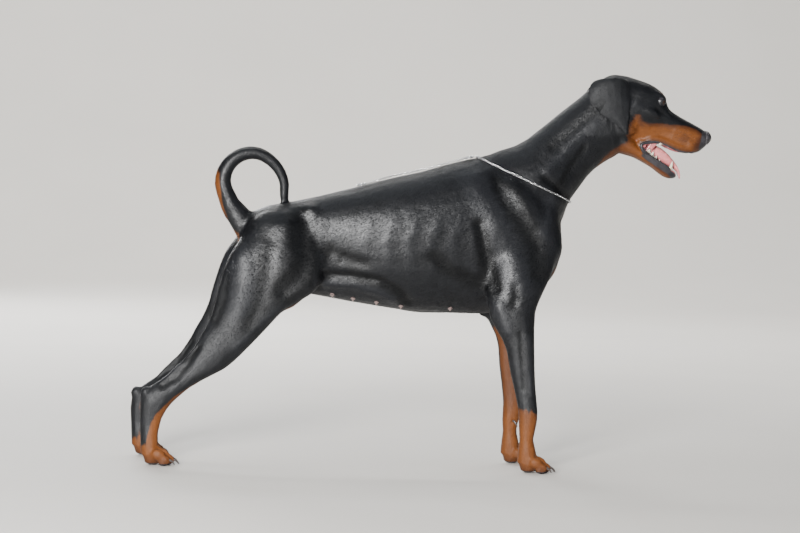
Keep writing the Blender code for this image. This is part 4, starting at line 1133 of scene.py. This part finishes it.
# A lock has corners 0 to 2 at its root, 3 to 5 at its bend and 6 at its tip, on a patch of the map.
LOCK_CORNERS = 7
LOCK_FACES = ((0, 1, 2), (0, 2, 5, 3), (2, 1, 4, 5), (1, 0, 3, 4), (3, 5, 6), (5, 4, 6), (4, 3, 6))
LOCK_RIMS = ((0, 3), (1, 4), (3, 6), (4, 6))
LOCK_PATCH = ((-1, -1), (1, -1), (0, -1), (-1, 0), (1, 0), (0, 0), (0, 1))
PATCH_SIZE = 0.0015
# Half widths as shares of the lock's width, and thicknesses in metres, at the root and the bend.
ROOT_HALF = 0.14
ROOT_THICK = 0.00006
BEND_HALF = 0.45
BEND_THICK = 0.00010
ROOT_SINK = 0.00020


def skin_facts(body):
    """Triangles of the skin with their corners, map places and parts of the body."""
    data = body.data
    data.calc_loop_triangles()
    count = len(data.loop_triangles)
    corners = np.empty(count * 3, np.int32)
    loops = np.empty(count * 3, np.int32)
    data.loop_triangles.foreach_get("vertices", corners)
    data.loop_triangles.foreach_get("loops", loops)
    places = np.empty(len(data.loops) * 2, np.float32)
    data.uv_layers["OFBake"].uv.foreach_get("vector", places)
    facts = {"corners": corners.reshape(-1, 3), "loops": loops.reshape(-1, 3)}
    facts["places"] = places.reshape(-1, 2)
    facts["spots"] = corners_of(body)
    facts["normals"] = normals_of(body)
    for name in LOCK_MARKS + ("bare", "mouth"):
        values = np.empty(len(data.vertices), np.float32)
        data.attributes[name].data.foreach_get("value", values)
        facts[name] = values
    middle = drawn(facts["spots"][facts["corners"]].mean(axis=1))
    share = zones(middle)
    facts["y"] = middle[:, 1]
    facts["part"] = np.zeros(len(middle), int)
    for k, name in enumerate(PARTS[1:], 1):
        facts["part"][share[name] > 0.5] = k
    a, b, c = (facts["spots"][facts["corners"][:, k]] for k in range(3))
    facts["area"] = np.linalg.norm(np.cross(b - a, c - a), axis=1) / 2
    covered = 1 - np.maximum(facts["bare"], facts["mouth"])[facts["corners"]].max(axis=1)
    facts["area"] *= covered > 0.6
    return facts


def lock_sizes(spots, coat, draw):
    """Length and height of each lock, in metres."""
    share = zones(spots)
    x, z = spots[:, 0], spots[:, 2]
    s = head_axes(spots)[0]
    size = np.full(len(spots), coat.hair)
    size *= 1 - 0.5 * share["head"] * ramp(s, -60, 20) - 0.25 * share["head"]
    size *= 1 - 0.35 * np.maximum(share["fore"], share["hind"]) * ramp(-z, -260, -120)
    size *= 1 - 0.35 * ramp(-z, -70, -40)
    size *= 1 + 0.35 * ramp(-x, 330, 380) * ramp(z, 330, 380) * (1 - share["tail"])
    rise = np.full(len(spots), 0.0004)
    rise *= 1 - 0.45 * share["head"] - 0.3 * ramp(-z, -120, -60)
    return size * draw.uniform(0.75, 1.2, len(spots)), rise * draw.uniform(0.55, 1.25, len(spots))


def laid_down(spots, tree):
    """The places on the skin nearest to these points, and the skin's normals there."""
    places = np.empty_like(spots)
    normals = np.empty_like(spots)
    for k, point in enumerate(spots.tolist()):
        places[k], normals[k] = tree.find_nearest(point)[:2]
    return places, normals


def build_locks(name, count, facts, tree, picked, coat, seed):
    """Flat tapered locks over part of the skin, as one mesh."""
    draw = np.random.default_rng(seed)
    weight = np.where(picked, facts["area"], 0.0)
    chosen = draw.choice(len(weight), count, p=weight / weight.sum())
    u = np.sqrt(draw.random(count))
    v = draw.random(count)
    share = np.stack((1 - u, u * (1 - v), u * v), axis=1)
    corners = facts["corners"][chosen]
    root = np.einsum("ij,ijk->ik", share, facts["spots"][corners])
    normal = np.einsum("ij,ijk->ik", share, facts["normals"][corners])
    normal /= np.linalg.norm(normal, axis=1)[:, None]
    place = np.einsum("ij,ijk->ik", share, facts["places"][facts["loops"][chosen]])
    ahead, flat = hair_lie(drawn(root), normal)
    across = np.cross(normal, ahead)
    sway = draw.normal(0, 0.13, count)[:, None]
    ahead = ahead * np.cos(sway) + across * np.sin(sway)
    across = np.cross(normal, ahead)
    size, rise = lock_sizes(drawn(root), coat, draw)
    size *= 0.4 + 0.6 * ramp(flat, 0.25, 0.7)
    size = size[:, None]
    rise = rise[:, None]
    wide = (coat.width * draw.uniform(0.6, 1.15, count) * (0.35 + 0.65 * size[:, 0] / coat.hair))[:, None]
    bend, lifted = laid_down(root + ahead * size * 0.5, tree)
    tip, raised = laid_down(root + ahead * size, tree)
    rows = []
    for middle, out, half, thick in ((root - normal * ROOT_SINK, normal, ROOT_HALF, ROOT_THICK),
                                     (bend + lifted * rise * 0.45, lifted, BEND_HALF, BEND_THICK)):
        rows += [middle + across * wide * half, middle - across * wide * half, middle + out * thick]
    spots = np.stack(rows + [tip + raised * rise], axis=1).reshape(-1, 3)
    base = np.arange(count)[:, None] * LOCK_CORNERS
    order = np.concatenate([base + np.array(face)[None] for face in LOCK_FACES], axis=1).ravel()
    totals = [len(face) for face in LOCK_FACES]
    spread = (place[:, None, :] + np.array(LOCK_PATCH)[None] * PATCH_SIZE).reshape(-1, 2)
    data = bpy.data.meshes.new(name)
    data.vertices.add(len(spots))
    data.vertices.foreach_set("co", spots.astype(np.float32).ravel())
    data.loops.add(len(order))
    data.loops.foreach_set("vertex_index", order.astype(np.int32))
    starts = np.concatenate(([0], np.cumsum(np.tile(totals, count))[:-1]))
    data.polygons.add(len(starts))
    data.polygons.foreach_set("loop_start", starts.astype(np.int32))
    data.update(calc_edges=True)
    data.validate()
    ends = np.empty(len(data.edges) * 2, np.int32)
    data.edges.foreach_get("vertices", ends)
    pairs = np.sort(ends.reshape(-1, 2) % LOCK_CORNERS, axis=1)
    rims = np.isin(pairs[:, 0] * 10 + pairs[:, 1], [a * 10 + b for a, b in LOCK_RIMS])
    data.attributes.new("sharp_edge", "BOOLEAN", "EDGE").data.foreach_set("value", rims)
    layer = data.uv_layers.new(name="OFBake")
    layer.uv.foreach_set("vector", spread[order].astype(np.float32).ravel())
    data.shade_smooth()
    body = new_object(name, data)
    for mark in LOCK_MARKS:
        values = np.einsum("ij,ij->i", share, facts[mark][corners])
        write(body, mark, np.repeat(values, LOCK_CORNERS))
    return body


class DOG_OT_coat(bpy.types.Operator):
    """Lays short locks along the skin"""
    bl_idname = "dog.coat"
    bl_label = "Coat"

    def execute(self, context):
        coat = context.scene.dog_coat
        skin = bpy.data.objects["skin"]
        facts = skin_facts(skin)
        tree = BVHTree.FromObject(skin, context.evaluated_depsgraph_get())
        for seed, (name, (count, part, side)) in enumerate(COATS.items()):
            picked = (facts["part"] == PARTS.index(part)) & (facts["y"] * side >= 0)
            body = build_locks(name, count, facts, tree, picked, coat, seed)
            finish_piece(body, "coat_black", skin.data.materials[0])
        return {"FINISHED"}


# The head's own pieces


# The eyeball as a share of the CAD ball, and how far its cornea bulges, in metres.
EYE_FIT = 0.985
CORNEA = 0.0009


def eye_look(side):
    """Where an eye looks: forward, turned out to its side and a little up."""
    look = HEAD_AHEAD * math.cos(EYE_TURN) + Vector((0, side, 0)) * math.sin(EYE_TURN)
    return (look + HEAD_UP * 0.10).normalized()


class DOG_OT_eyes(bpy.types.Operator):
    """Builds both eyes with their bulging corneas"""
    bl_idname = "dog.eyes"
    bl_label = "Eyes"

    def execute(self, context):
        material = eye_finish(context.scene.dog_head)
        for name, side in SIDES:
            middle = middle_of("eye_" + name)
            look = eye_look(side)
            turn = look.to_track_quat("Z", "Y").to_euler()
            bpy.ops.mesh.primitive_uv_sphere_add(segments=64, ring_count=48, radius=EYE_R * EYE_FIT,
                                                 location=middle, rotation=turn)
            ball_body = bpy.context.object
            ball_body.name = "eyeball_" + name
            choose(ball_body)
            bpy.ops.object.transform_apply(location=True, rotation=True, scale=True)
            spots = corners_of(ball_body)
            away = spots - np.array(middle)
            reach = np.linalg.norm(away, axis=1)
            turned = np.arccos(np.clip(away @ np.array(look) / reach, -1, 1))
            bulge = CORNEA * (1 - ramp(turned, 0.1, 0.62))
            place_corners(ball_body, spots + away / reach[:, None] * bulge[:, None])
            write(ball_body, "turn", turned)
            ball_body.data.shade_smooth()
            finish_piece(ball_body, "eye", material, "eye_" + name)
        return {"FINISHED"}


# The lids' opening as angles from the look axis, and the steps round it.
LIDS_WIDE = 0.80
UPPER_LID = 0.52
LOWER_LID = 0.42
LID_STEPS = 64
# Across a lid: how far beyond its edge, in radians, how high over the eyeball, in mm, and how bare.
LID_SHAPE = ((0.28, 0.75, 0.0), (0.12, 1.1, 0.3), (0.04, 1.0, 0.9), (0.0, 0.65, 1.0), (0.03, 0.3, 1.0),
             (0.2, 0.1, 1.0))
LID_BACK = 1.22


def lid_opening(turn):
    """The angle from the look axis to the lids' edge, in the direction given by the turn."""
    high = UPPER_LID if math.sin(turn) > 0 else LOWER_LID
    k = abs(math.sin(turn))
    square = high * math.cos(turn) * math.cos(turn) / LIDS_WIDE ** 2
    if square < 1e-4:
        return high / k
    return (-k + math.sqrt(k * k + 4 * high * square)) / (2 * square)


class DOG_OT_lids(bpy.types.Operator):
    """Builds the dark lids that shape the opening of each eye"""
    bl_idname = "dog.lids"
    bl_label = "Lids"

    def execute(self, context):
        material = bpy.data.objects["skin"].data.materials[0]
        for name, side in SIDES:
            middle = middle_of("eye_" + name)
            look = eye_look(side)
            ahead = (HEAD_AHEAD - look * HEAD_AHEAD.dot(look)).normalized()
            up = look.cross(ahead)
            up = -up if up.z < 0 else up
            rings = []
            for k in range(LID_STEPS):
                turn = 2 * math.pi * k / LID_STEPS
                edge = lid_opening(turn)
                way = ahead * math.cos(turn) + up * math.sin(turn)
                last = max(edge + 0.36, LID_BACK)
                across = [(edge + more, lift) for more, lift, bare in LID_SHAPE]
                ring = []
                for angle, lift in [(last, 0.3)] + across + [(last, 0.05)]:
                    out = look * math.cos(angle) + way * math.sin(angle)
                    ring.append(middle + out * (EYE_R + lift * MM))
                rings.append(ring)
            body = join_parts("lids_" + name, [tube(rings, True)])
            bares = [bare for more, lift, bare in LID_SHAPE]
            write(body, "bare", np.tile([0.0] + bares + [1.0], LID_STEPS))
            for mark in ("head", "ear"):
                write(body, mark, np.ones(len(body.data.vertices)))
            finish_piece(body, "coat_black", material)
        return {"FINISHED"}


# How far the nose leather is grown to meet the skin, and the cells of the nose and the tongue, in metres.
NOSE_GROW = 0.0011
NOSE_CELL = 0.0007
TONGUE_CELL = 0.001


class DOG_OT_nose(bpy.types.Operator):
    """Builds the nose leather with its nostrils"""
    bl_idname = "dog.nose"
    bl_label = "Nose"

    def execute(self, context):
        body = merged_copy("nose_leather", ["nose"], NOSE_GROW)
        apply(body, "REMESH", mode="VOXEL", voxel_size=NOSE_CELL)
        apply(body, "SMOOTH", factor=0.5, iterations=10)
        spots = drawn(corners_of(body))
        s, t = head_axes(spots)
        groove = 0.9 * wave(spots[:, 1], 1.3) * ramp(s, 106, 112) * ramp(-t, 4, 12)
        spots -= normals_of(body) * groove[:, None]
        place_drawn(body, spots)
        body.data.shade_smooth()
        finish_piece(body, "nose_leather", nose_finish(context.scene.dog_head), "nose")
        return {"FINISHED"}


# The small points along the lower lip: from one to the next, and their height, in metres.
LIP_POINT_GAP = 0.0042
LIP_POINT_SIZE = 0.0030
# Round the corner of the lips: s, t, y and radius.
LIP_CORNER = ((20, -81, 28.6, 1.2), (10, -86, 29.8, 2.4), (1, -91.5, 30.6, 3.2), (-6, -97, 31.2, 3.6),
              (-9.5, -103, 31.4, 3.8), (-7, -108.5, 31.4, 3.6), (0, -112, 31, 3.2),
              (10, -113.5, 30, 2.4), (20, -114, 28.8, 1.2))


class DOG_OT_lips(bpy.types.Operator):
    """Rounds the corners of the lips and sets the small points along the lower lip"""
    bl_idname = "dog.lips"
    bl_label = "Lips"

    def execute(self, context):
        parts = []
        for side in (-1, 1):
            path = [face_spot(s, t, side * y) for s, t, y, r in LIP_CORNER]
            radii = [r * MM for s, t, y, r in LIP_CORNER]
            parts.append(loft(sweep(path, radii, 14, Vector((0, 1, 0)), 0.9)))
            line = np.array([face_spot(s, t + 2.2, side * (y - 2.0)) for s, t, y in LOWER_LIP[:5]])
            points = resample(line, LIP_POINT_GAP, False)
            for k, point in enumerate(points[2:]):
                size = LIP_POINT_SIZE * (0.7 + 0.3 * math.sin(k * 2.4)) * (1 - 0.5 * k / len(points))
                up = face_spot(0, 1, 0) - face_spot(0, 0, 0)
                lean = (up.normalized() + Vector((0, side * 0.55, 0))).normalized()
                start = Vector(point)
                spine = [start - lean * 0.0015, start + lean * size * 0.4, start + lean * size * 0.85,
                         start + lean * size]
                parts.append(loft(sweep(spine, [0.0014, 0.0012, 0.0008, 0.0002], 8)))
        body = join_parts("lips", parts)
        write(body, "bare", np.ones(len(body.data.vertices)))
        finish_piece(body, "coat_black", bpy.data.objects["skin"].data.materials[0])
        return {"FINISHED"}


def tooth_part(s, root, tip, y, wide, flat, lean, count=10):
    """A curved cone from under the gum to its tip, with a share of the rise for each corner."""
    under = root + (root - tip) * 0.35
    path = []
    radii = []
    rise = []
    for k in range(7):
        u = k / 6
        path.append(face_spot(s - lean * u * u, under + (tip - under) * u, y))
        radii.append(wide * MM * (1 - u ** 1.8) ** 0.8 + 0.00012)
        rise += [max(0.0, (u - 0.26) / 0.74)] * count
    rings = sweep(path, radii, count, Vector((0, 1, 0)), flat)
    return loft(rings), rise


def tooth_row(name, row):
    """All the teeth of one jaw as one object: cheek teeth of three cusps, canines and front teeth."""
    parts = []
    rises = []
    for side in (-1, 1):
        for s, root, tip, y, wide in row:
            canine = wide == 4.4 and s > 60 or wide == 4.2
            front = s > 80 and not canine
            cusps = ((0, 1.0, 1.0),)
            if not canine and not front:
                cusps = ((0, 1.0, 1.0), (-0.8, 0.55, 0.62), (0.85, 0.5, 0.55))
            for shift, high, share in cusps:
                top = root + (tip - root) * high
                flat, lean = (0.8, 6) if canine else (0.62, 1.5)
                part, rise = tooth_part(s + shift * wide, root, top, side * y, wide * share, flat, lean)
                parts.append(part)
                rises += rise
    body = join_parts(name, parts)
    write(body, "rise", np.array(rises))
    return body


class DOG_OT_mouth(bpy.types.Operator):
    """Builds the teeth and the tongue"""
    bl_idname = "dog.mouth"
    bl_label = "Mouth"

    def execute(self, context):
        head = context.scene.dog_head
        enamel = tooth_finish(head)
        for name, row in (("teeth_lower", LOWER_TEETH), ("teeth_upper", UPPER_TEETH)):
            finish_piece(tooth_row(name, row), "tongue", enamel)
        body = merged_copy("tongue_flesh", ["tongue"])
        apply(body, "REMESH", mode="VOXEL", voxel_size=TONGUE_CELL)
        apply(body, "SMOOTH", factor=0.5, iterations=14)
        spots = drawn(corners_of(body))
        normals = normals_of(body)
        s = head_axes(spots)[0]
        top = ramp(normals[:, 2] * 0.8 + normals[:, 0] * 0.6, 0.2, 0.8)
        groove = wave(spots[:, 1], 1.5) * top * ramp(s, -5, 15)
        spots -= normals * (1.3 * groove)[:, None]
        spots[:, 2] += 0.5 * np.sin(s * 0.25) * wave(np.abs(spots[:, 1]) - 13, 4)
        place_drawn(body, spots)
        # The groove is stored for the tongue's colour, which darkens it there as painted shade.
        write(body, "groove", groove)
        body.data.shade_smooth()
        finish_piece(body, "tongue", tongue_finish(head), "tongue")
        return {"FINISHED"}


def whisker_places():
    """Where the whiskers of one side stand: s, t and y in mm, and their length in metres."""
    places = []
    for row in range(4):
        for k in range(6 - row // 2):
            places.append((92 - 9.5 * k - 2 * row, -30 - 8.5 * row + 1.5 * k, 22, 0.011 + 0.0016 * k))
    for k in range(4):
        places.append((-16 - 5 * k, 12, 22, 0.014))
    places += [(-40, -78, 40, 0.013), (-46, -84, 40, 0.011)]
    for k in range(4):
        places.append((70 - 12 * k, -126, 14, 0.009))
    return places


class DOG_OT_whiskers(bpy.types.Operator):
    """Sets short whiskers in rows on the muzzle, over the eyes and on the cheeks"""
    bl_idname = "dog.whiskers"
    bl_label = "Whiskers"

    def execute(self, context):
        skin = bpy.data.objects["skin"]
        tree = BVHTree.FromObject(skin, context.evaluated_depsgraph_get())
        draw = np.random.default_rng(7)
        back = -HEAD_AHEAD
        parts = []
        for side in (-1, 1):
            for s, t, y, size in whisker_places():
                start = face_spot(s + draw.uniform(-1, 1), t + draw.uniform(-1, 1), side * (y + 30))
                found, normal = tree.ray_cast(start, Vector((0, -side, 0)))[:2]
                if found is None:
                    continue
                aim = (normal * 0.6 + back * 0.8 + Vector((0, 0, -0.25))).normalized()
                path = [found - normal * 0.001]
                radii = [0.0002]
                for u in (0.12, 0.4, 0.75, 1.0):
                    path.append(found + aim * size * u + Vector((0, 0, -0.25 * size * u * u)))
                    radii.append(0.00017 * (1 - u) + 0.00004)
                parts.append(loft(sweep(path, radii, 5)))
        finish_piece(join_parts("whiskers", parts), "coat_black", whisker_finish())
        return {"FINISHED"}


class DOG_OT_claws(bpy.types.Operator):
    """Rounds the claws of all four feet"""
    bl_idname = "dog.claws"
    bl_label = "Claws"

    def execute(self, context):
        material = claw_finish(context.scene.dog_head)
        for node in sorted(frame["nodes"]):
            if "claw" in node:
                finish_piece(rounded_copy("horn_" + node, node), "horn_claw", material, node)
        return {"FINISHED"}


# The chain collar


def collar_line():
    """The middle line of the CAD collar, as a closed loop of points."""
    spots = corners_of(frame["nodes"]["chain_collar"])
    top = np.array(spot(CHAIN_TOP[0], 0, CHAIN_TOP[1]))
    low = np.array(spot(CHAIN_LOW[0], 0, CHAIN_LOW[1]))
    run = (low - top) / np.linalg.norm(low - top)
    away = spots - (top + low) / 2
    angle = np.arctan2(away[:, 1], away @ run)
    bins = 48
    which = ((angle + math.pi) / (2 * math.pi) * bins).astype(int) % bins
    middles = [spots[which == k].mean(axis=0) for k in range(bins) if np.any(which == k)]
    return np.array(middles)


def resample(line, pitch, closed):
    """Points a fixed distance apart along a line."""
    line = np.asarray(line, float)
    if closed:
        line = np.vstack((line, line[:1]))
    steps = np.linalg.norm(np.diff(line, axis=0), axis=1)
    along = np.concatenate(([0.0], np.cumsum(steps)))
    count = max(2, int(round(along[-1] / pitch)))
    count += closed and count % 2
    at = np.linspace(0, along[-1], count + 1)
    out = np.stack([np.interp(at, along, line[:, k]) for k in range(3)], axis=1)
    return out[:-1] if closed else out


# Half the length and half the width of a link, as shares of the pitch.
LINK_LONG = 0.72
LINK_WIDE = 0.44


def link_part(middle, ahead, lift, chain, count=12, sides=6):
    """One oval link, its long way along the chain."""
    long_half = chain.pitch * LINK_LONG
    wide_half = chain.pitch * LINK_WIDE
    across = ahead.cross(lift).normalized()
    path = []
    for k in range(count):
        angle = 2 * math.pi * k / count
        path.append(middle + ahead * (long_half - chain.wire) * math.cos(angle)
                    + across * (wide_half - chain.wire) * math.sin(angle))
    rings = []
    for k in range(count):
        forward = (path[(k + 1) % count] - path[k - 1]).normalized()
        out = forward.cross(lift).normalized()
        rings.append([path[k] + (out * math.cos(a) + lift * math.sin(a)) * chain.wire
                      for a in (2 * math.pi * n / sides for n in range(sides))])
    return tube(rings, True)


def chain_of_links(name, points, closed, outward, chain):
    """Links along the points, each turned a quarter from the last."""
    parts = []
    count = len(points)
    for k in range(count):
        before = Vector(points[k - 1 if closed or k else 0])
        after = Vector(points[(k + 1) % count if closed else min(k + 1, count - 1)])
        ahead = (after - before).normalized()
        out = outward(Vector(points[k]))
        out = (out - ahead * out.dot(ahead)).normalized()
        turn = 1 if k % 2 else -1
        lift = (out + ahead.cross(out) * turn).normalized()
        parts.append(link_part(Vector(points[k]), ahead, lift, chain))
    return join_parts(name, parts)


class DOG_OT_chain(bpy.types.Operator):
    """Builds the links of the chain collar, its rings and its loose end along the back"""
    bl_idname = "dog.chain"
    bl_label = "Chain collar"

    def execute(self, context):
        chain = context.scene.dog_chain
        steel = steel_finish(chain)
        line = collar_line()
        centre = Vector(line.mean(axis=0))
        body = chain_of_links("chain_links", resample(line, chain.pitch, True), True,
                              lambda p: p - centre, chain)
        finish_piece(body, "steel_chain", steel, "chain_collar")
        low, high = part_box("chain_end")
        spots = corners_of(frame["nodes"]["chain_end"])
        ring = middle_of("chain_ring_slip")
        last = middle_of("chain_ring_end")
        line = [ring + Vector((-0.007, 0, -0.001))]
        for x in np.linspace(high.x - 0.006, low.x + 0.006, 22):
            line.append(spots[np.abs(spots[:, 0] - x) < 0.008].mean(axis=0))
        line.append(last + Vector((0.007, 0, 0.001)))
        body = chain_of_links("chain_tail", resample(line, chain.pitch, False), False,
                              lambda p: Vector((0, 0, 1)), chain)
        finish_piece(body, "steel_chain", steel, "chain_end")
        for node in ("chain_ring_slip", "chain_ring_end"):
            finish_piece(rounded_copy("steel_" + node, node), "steel_chain", steel, node)
        return {"FINISHED"}


# The studio


# Each light: its name, which is also the setting of its power, then its place, target, size and colour.
LIGHTS = (
    ("sky", (-0.6, 0.4, 3.4), (0, 0, 0.4), (3.6, 2.6), (0.93, 0.97, 1.0)),
    ("key", (-1.8, -4.8, 1.3), (0, 0, 0.45), (1.3, 1.3), (1.0, 0.97, 0.93)),
    ("back", (0.0, 3.4, 4.4), (0, 6.4, 0.4), (7.0, 2.2), (1.0, 0.98, 0.95)),
    ("rear", (-1.2, 4.6, 2.0), (0, 0, 0.45), (2.0, 2.0), (0.97, 0.98, 1.0)),
    ("fill", (3.2, -2.6, 1.5), (0.1, 0, 0.45), (1.8, 1.8), (0.95, 0.98, 1.0)),
)


def soft_light(name, place, target, size, power, colour):
    """A soft rectangular light that faces its target."""
    data = bpy.data.lights.new(name, "AREA")
    data.shape = "RECTANGLE"
    data.size = size[0]
    data.size_y = size[1]
    data.energy = power
    data.color = colour
    body = new_object(name, data)
    body.location = place
    body.rotation_mode = "QUATERNION"
    body.rotation_quaternion = (Vector(target) - body.location).to_track_quat("-Z", "Y")


# The backdrop's place behind the dog and its height, in metres.
BACKDROP_Y = 8.0
BACKDROP_HIGH = 12.0
# The camera's place in metres, its turn, tilt and roll, and its focal length in mm.
CAMERA_PLACE = (-1.0192, -6.9211, 0.8144)
CAMERA_YAW = math.radians(8.0)
CAMERA_DOWN = math.radians(3.2)
CAMERA_ROLL = math.radians(2.2)
CAMERA_LENS = 148.6


class DOG_OT_stage(bpy.types.Operator):
    """Builds the pale floor and backdrop, the soft lights and the camera"""
    bl_idname = "dog.stage"
    bl_label = "Stage"

    def execute(self, context):
        stage = context.scene.dog_stage
        self.add_floor(stage)
        world = bpy.data.worlds.new("studio")
        world.use_nodes = True
        background = world.node_tree.nodes["Background"]
        background.inputs["Color"].default_value = (0.80, 0.88, 1.0, 1)
        background.inputs["Strength"].default_value = 0.10
        context.scene.world = world
        for name, place, target, size, colour in LIGHTS:
            soft_light(name + "_light", place, target, size, getattr(stage, name), colour)
        self.add_camera(context)
        return {"FINISHED"}

    def add_floor(self, stage):
        """A floor that curves up into a backdrop behind the dog."""
        bpy.ops.mesh.primitive_plane_add(size=2, location=(0, -3.0, 0))
        floor = bpy.context.object
        floor.name = "studio_floor"
        floor.scale = (16, 12, 1)
        choose(floor)
        bpy.ops.object.transform_apply(location=True, rotation=True, scale=True)
        mesh = bmesh.new()
        mesh.from_mesh(floor.data)
        rear = [e for e in mesh.edges if all(v.co.y > BACKDROP_Y for v in e.verts)]
        raised = bmesh.ops.extrude_edge_only(mesh, edges=rear)
        for part in raised["geom"]:
            if isinstance(part, bmesh.types.BMVert):
                part.co.z += BACKDROP_HIGH
        bend = [e for e in mesh.edges if all(v.co.y > BACKDROP_Y and v.co.z < 0.1 for v in e.verts)]
        bmesh.ops.bevel(mesh, geom=bend, offset=4.0, segments=24, affect="EDGES", profile=0.5)
        bmesh.ops.recalc_face_normals(mesh, faces=mesh.faces)
        mesh.to_mesh(floor.data)
        mesh.free()
        floor.data.shade_smooth()
        floor.data.materials.append(floor_finish(stage))

    def add_camera(self, context):
        """The camera of the photo, worked out from the dog's size."""
        ahead = Vector((math.sin(CAMERA_YAW) * math.cos(CAMERA_DOWN),
                        math.cos(CAMERA_YAW) * math.cos(CAMERA_DOWN), -math.sin(CAMERA_DOWN)))
        level = Vector((math.cos(CAMERA_YAW), -math.sin(CAMERA_YAW), 0))
        rise = level.cross(ahead)
        right = level * math.cos(CAMERA_ROLL) + rise * math.sin(CAMERA_ROLL)
        up = rise * math.cos(CAMERA_ROLL) - level * math.sin(CAMERA_ROLL)
        data = bpy.data.cameras.new("camera")
        data.sensor_width = 36
        data.lens = CAMERA_LENS
        camera = new_object("camera", data)
        turn = Matrix((right, up, -ahead)).transposed()
        camera.matrix_world = Matrix.Translation(Vector(CAMERA_PLACE) + SHIFT) @ turn.to_4x4()
        context.scene.camera = camera


class DOG_PT_panel(bpy.types.Panel):
    """Lists the settings and the steps of the dog"""
    bl_idname = "DOG_PT_panel"
    bl_label = "Dog"
    bl_space_type = "VIEW_3D"
    bl_region_type = "UI"
    bl_category = "Dog"

    def draw(self, context):
        for group in SETTINGS:
            box = self.layout.box()
            for key in getattr(context.scene, group).bl_rna.properties.keys():
                if key not in ("rna_type", "name"):
                    box.prop(getattr(context.scene, group), key)
        for step in STEPS:
            self.layout.operator(step.bl_idname)


SETTINGS = {"dog_coat": CoatSettings, "dog_head": HeadSettings, "dog_chain": ChainSettings,
            "dog_stage": StageSettings}
STEPS = (DOG_OT_skin, DOG_OT_coat, DOG_OT_eyes, DOG_OT_lids, DOG_OT_lips, DOG_OT_nose, DOG_OT_mouth,
         DOG_OT_whiskers, DOG_OT_claws, DOG_OT_chain, DOG_OT_stage)


def register():
    for group in SETTINGS.values():
        bpy.utils.register_class(group)
    for step in STEPS + (DOG_PT_panel,):
        bpy.utils.register_class(step)
    for name, group in SETTINGS.items():
        setattr(bpy.types.Scene, name, PointerProperty(type=group))


def unregister():
    for name in SETTINGS:
        delattr(bpy.types.Scene, name)
    for step in reversed(STEPS + (DOG_PT_panel,)):
        bpy.utils.unregister_class(step)
    for group in reversed(list(SETTINGS.values())):
        bpy.utils.unregister_class(group)


def main():
    """Builds everything."""
    register()
    for step in STEPS:
        group, name = step.bl_idname.split(".")
        getattr(getattr(bpy.ops, group), name)()
    bpy.context.view_layer.update()


if __name__ == "__main__":
    main()
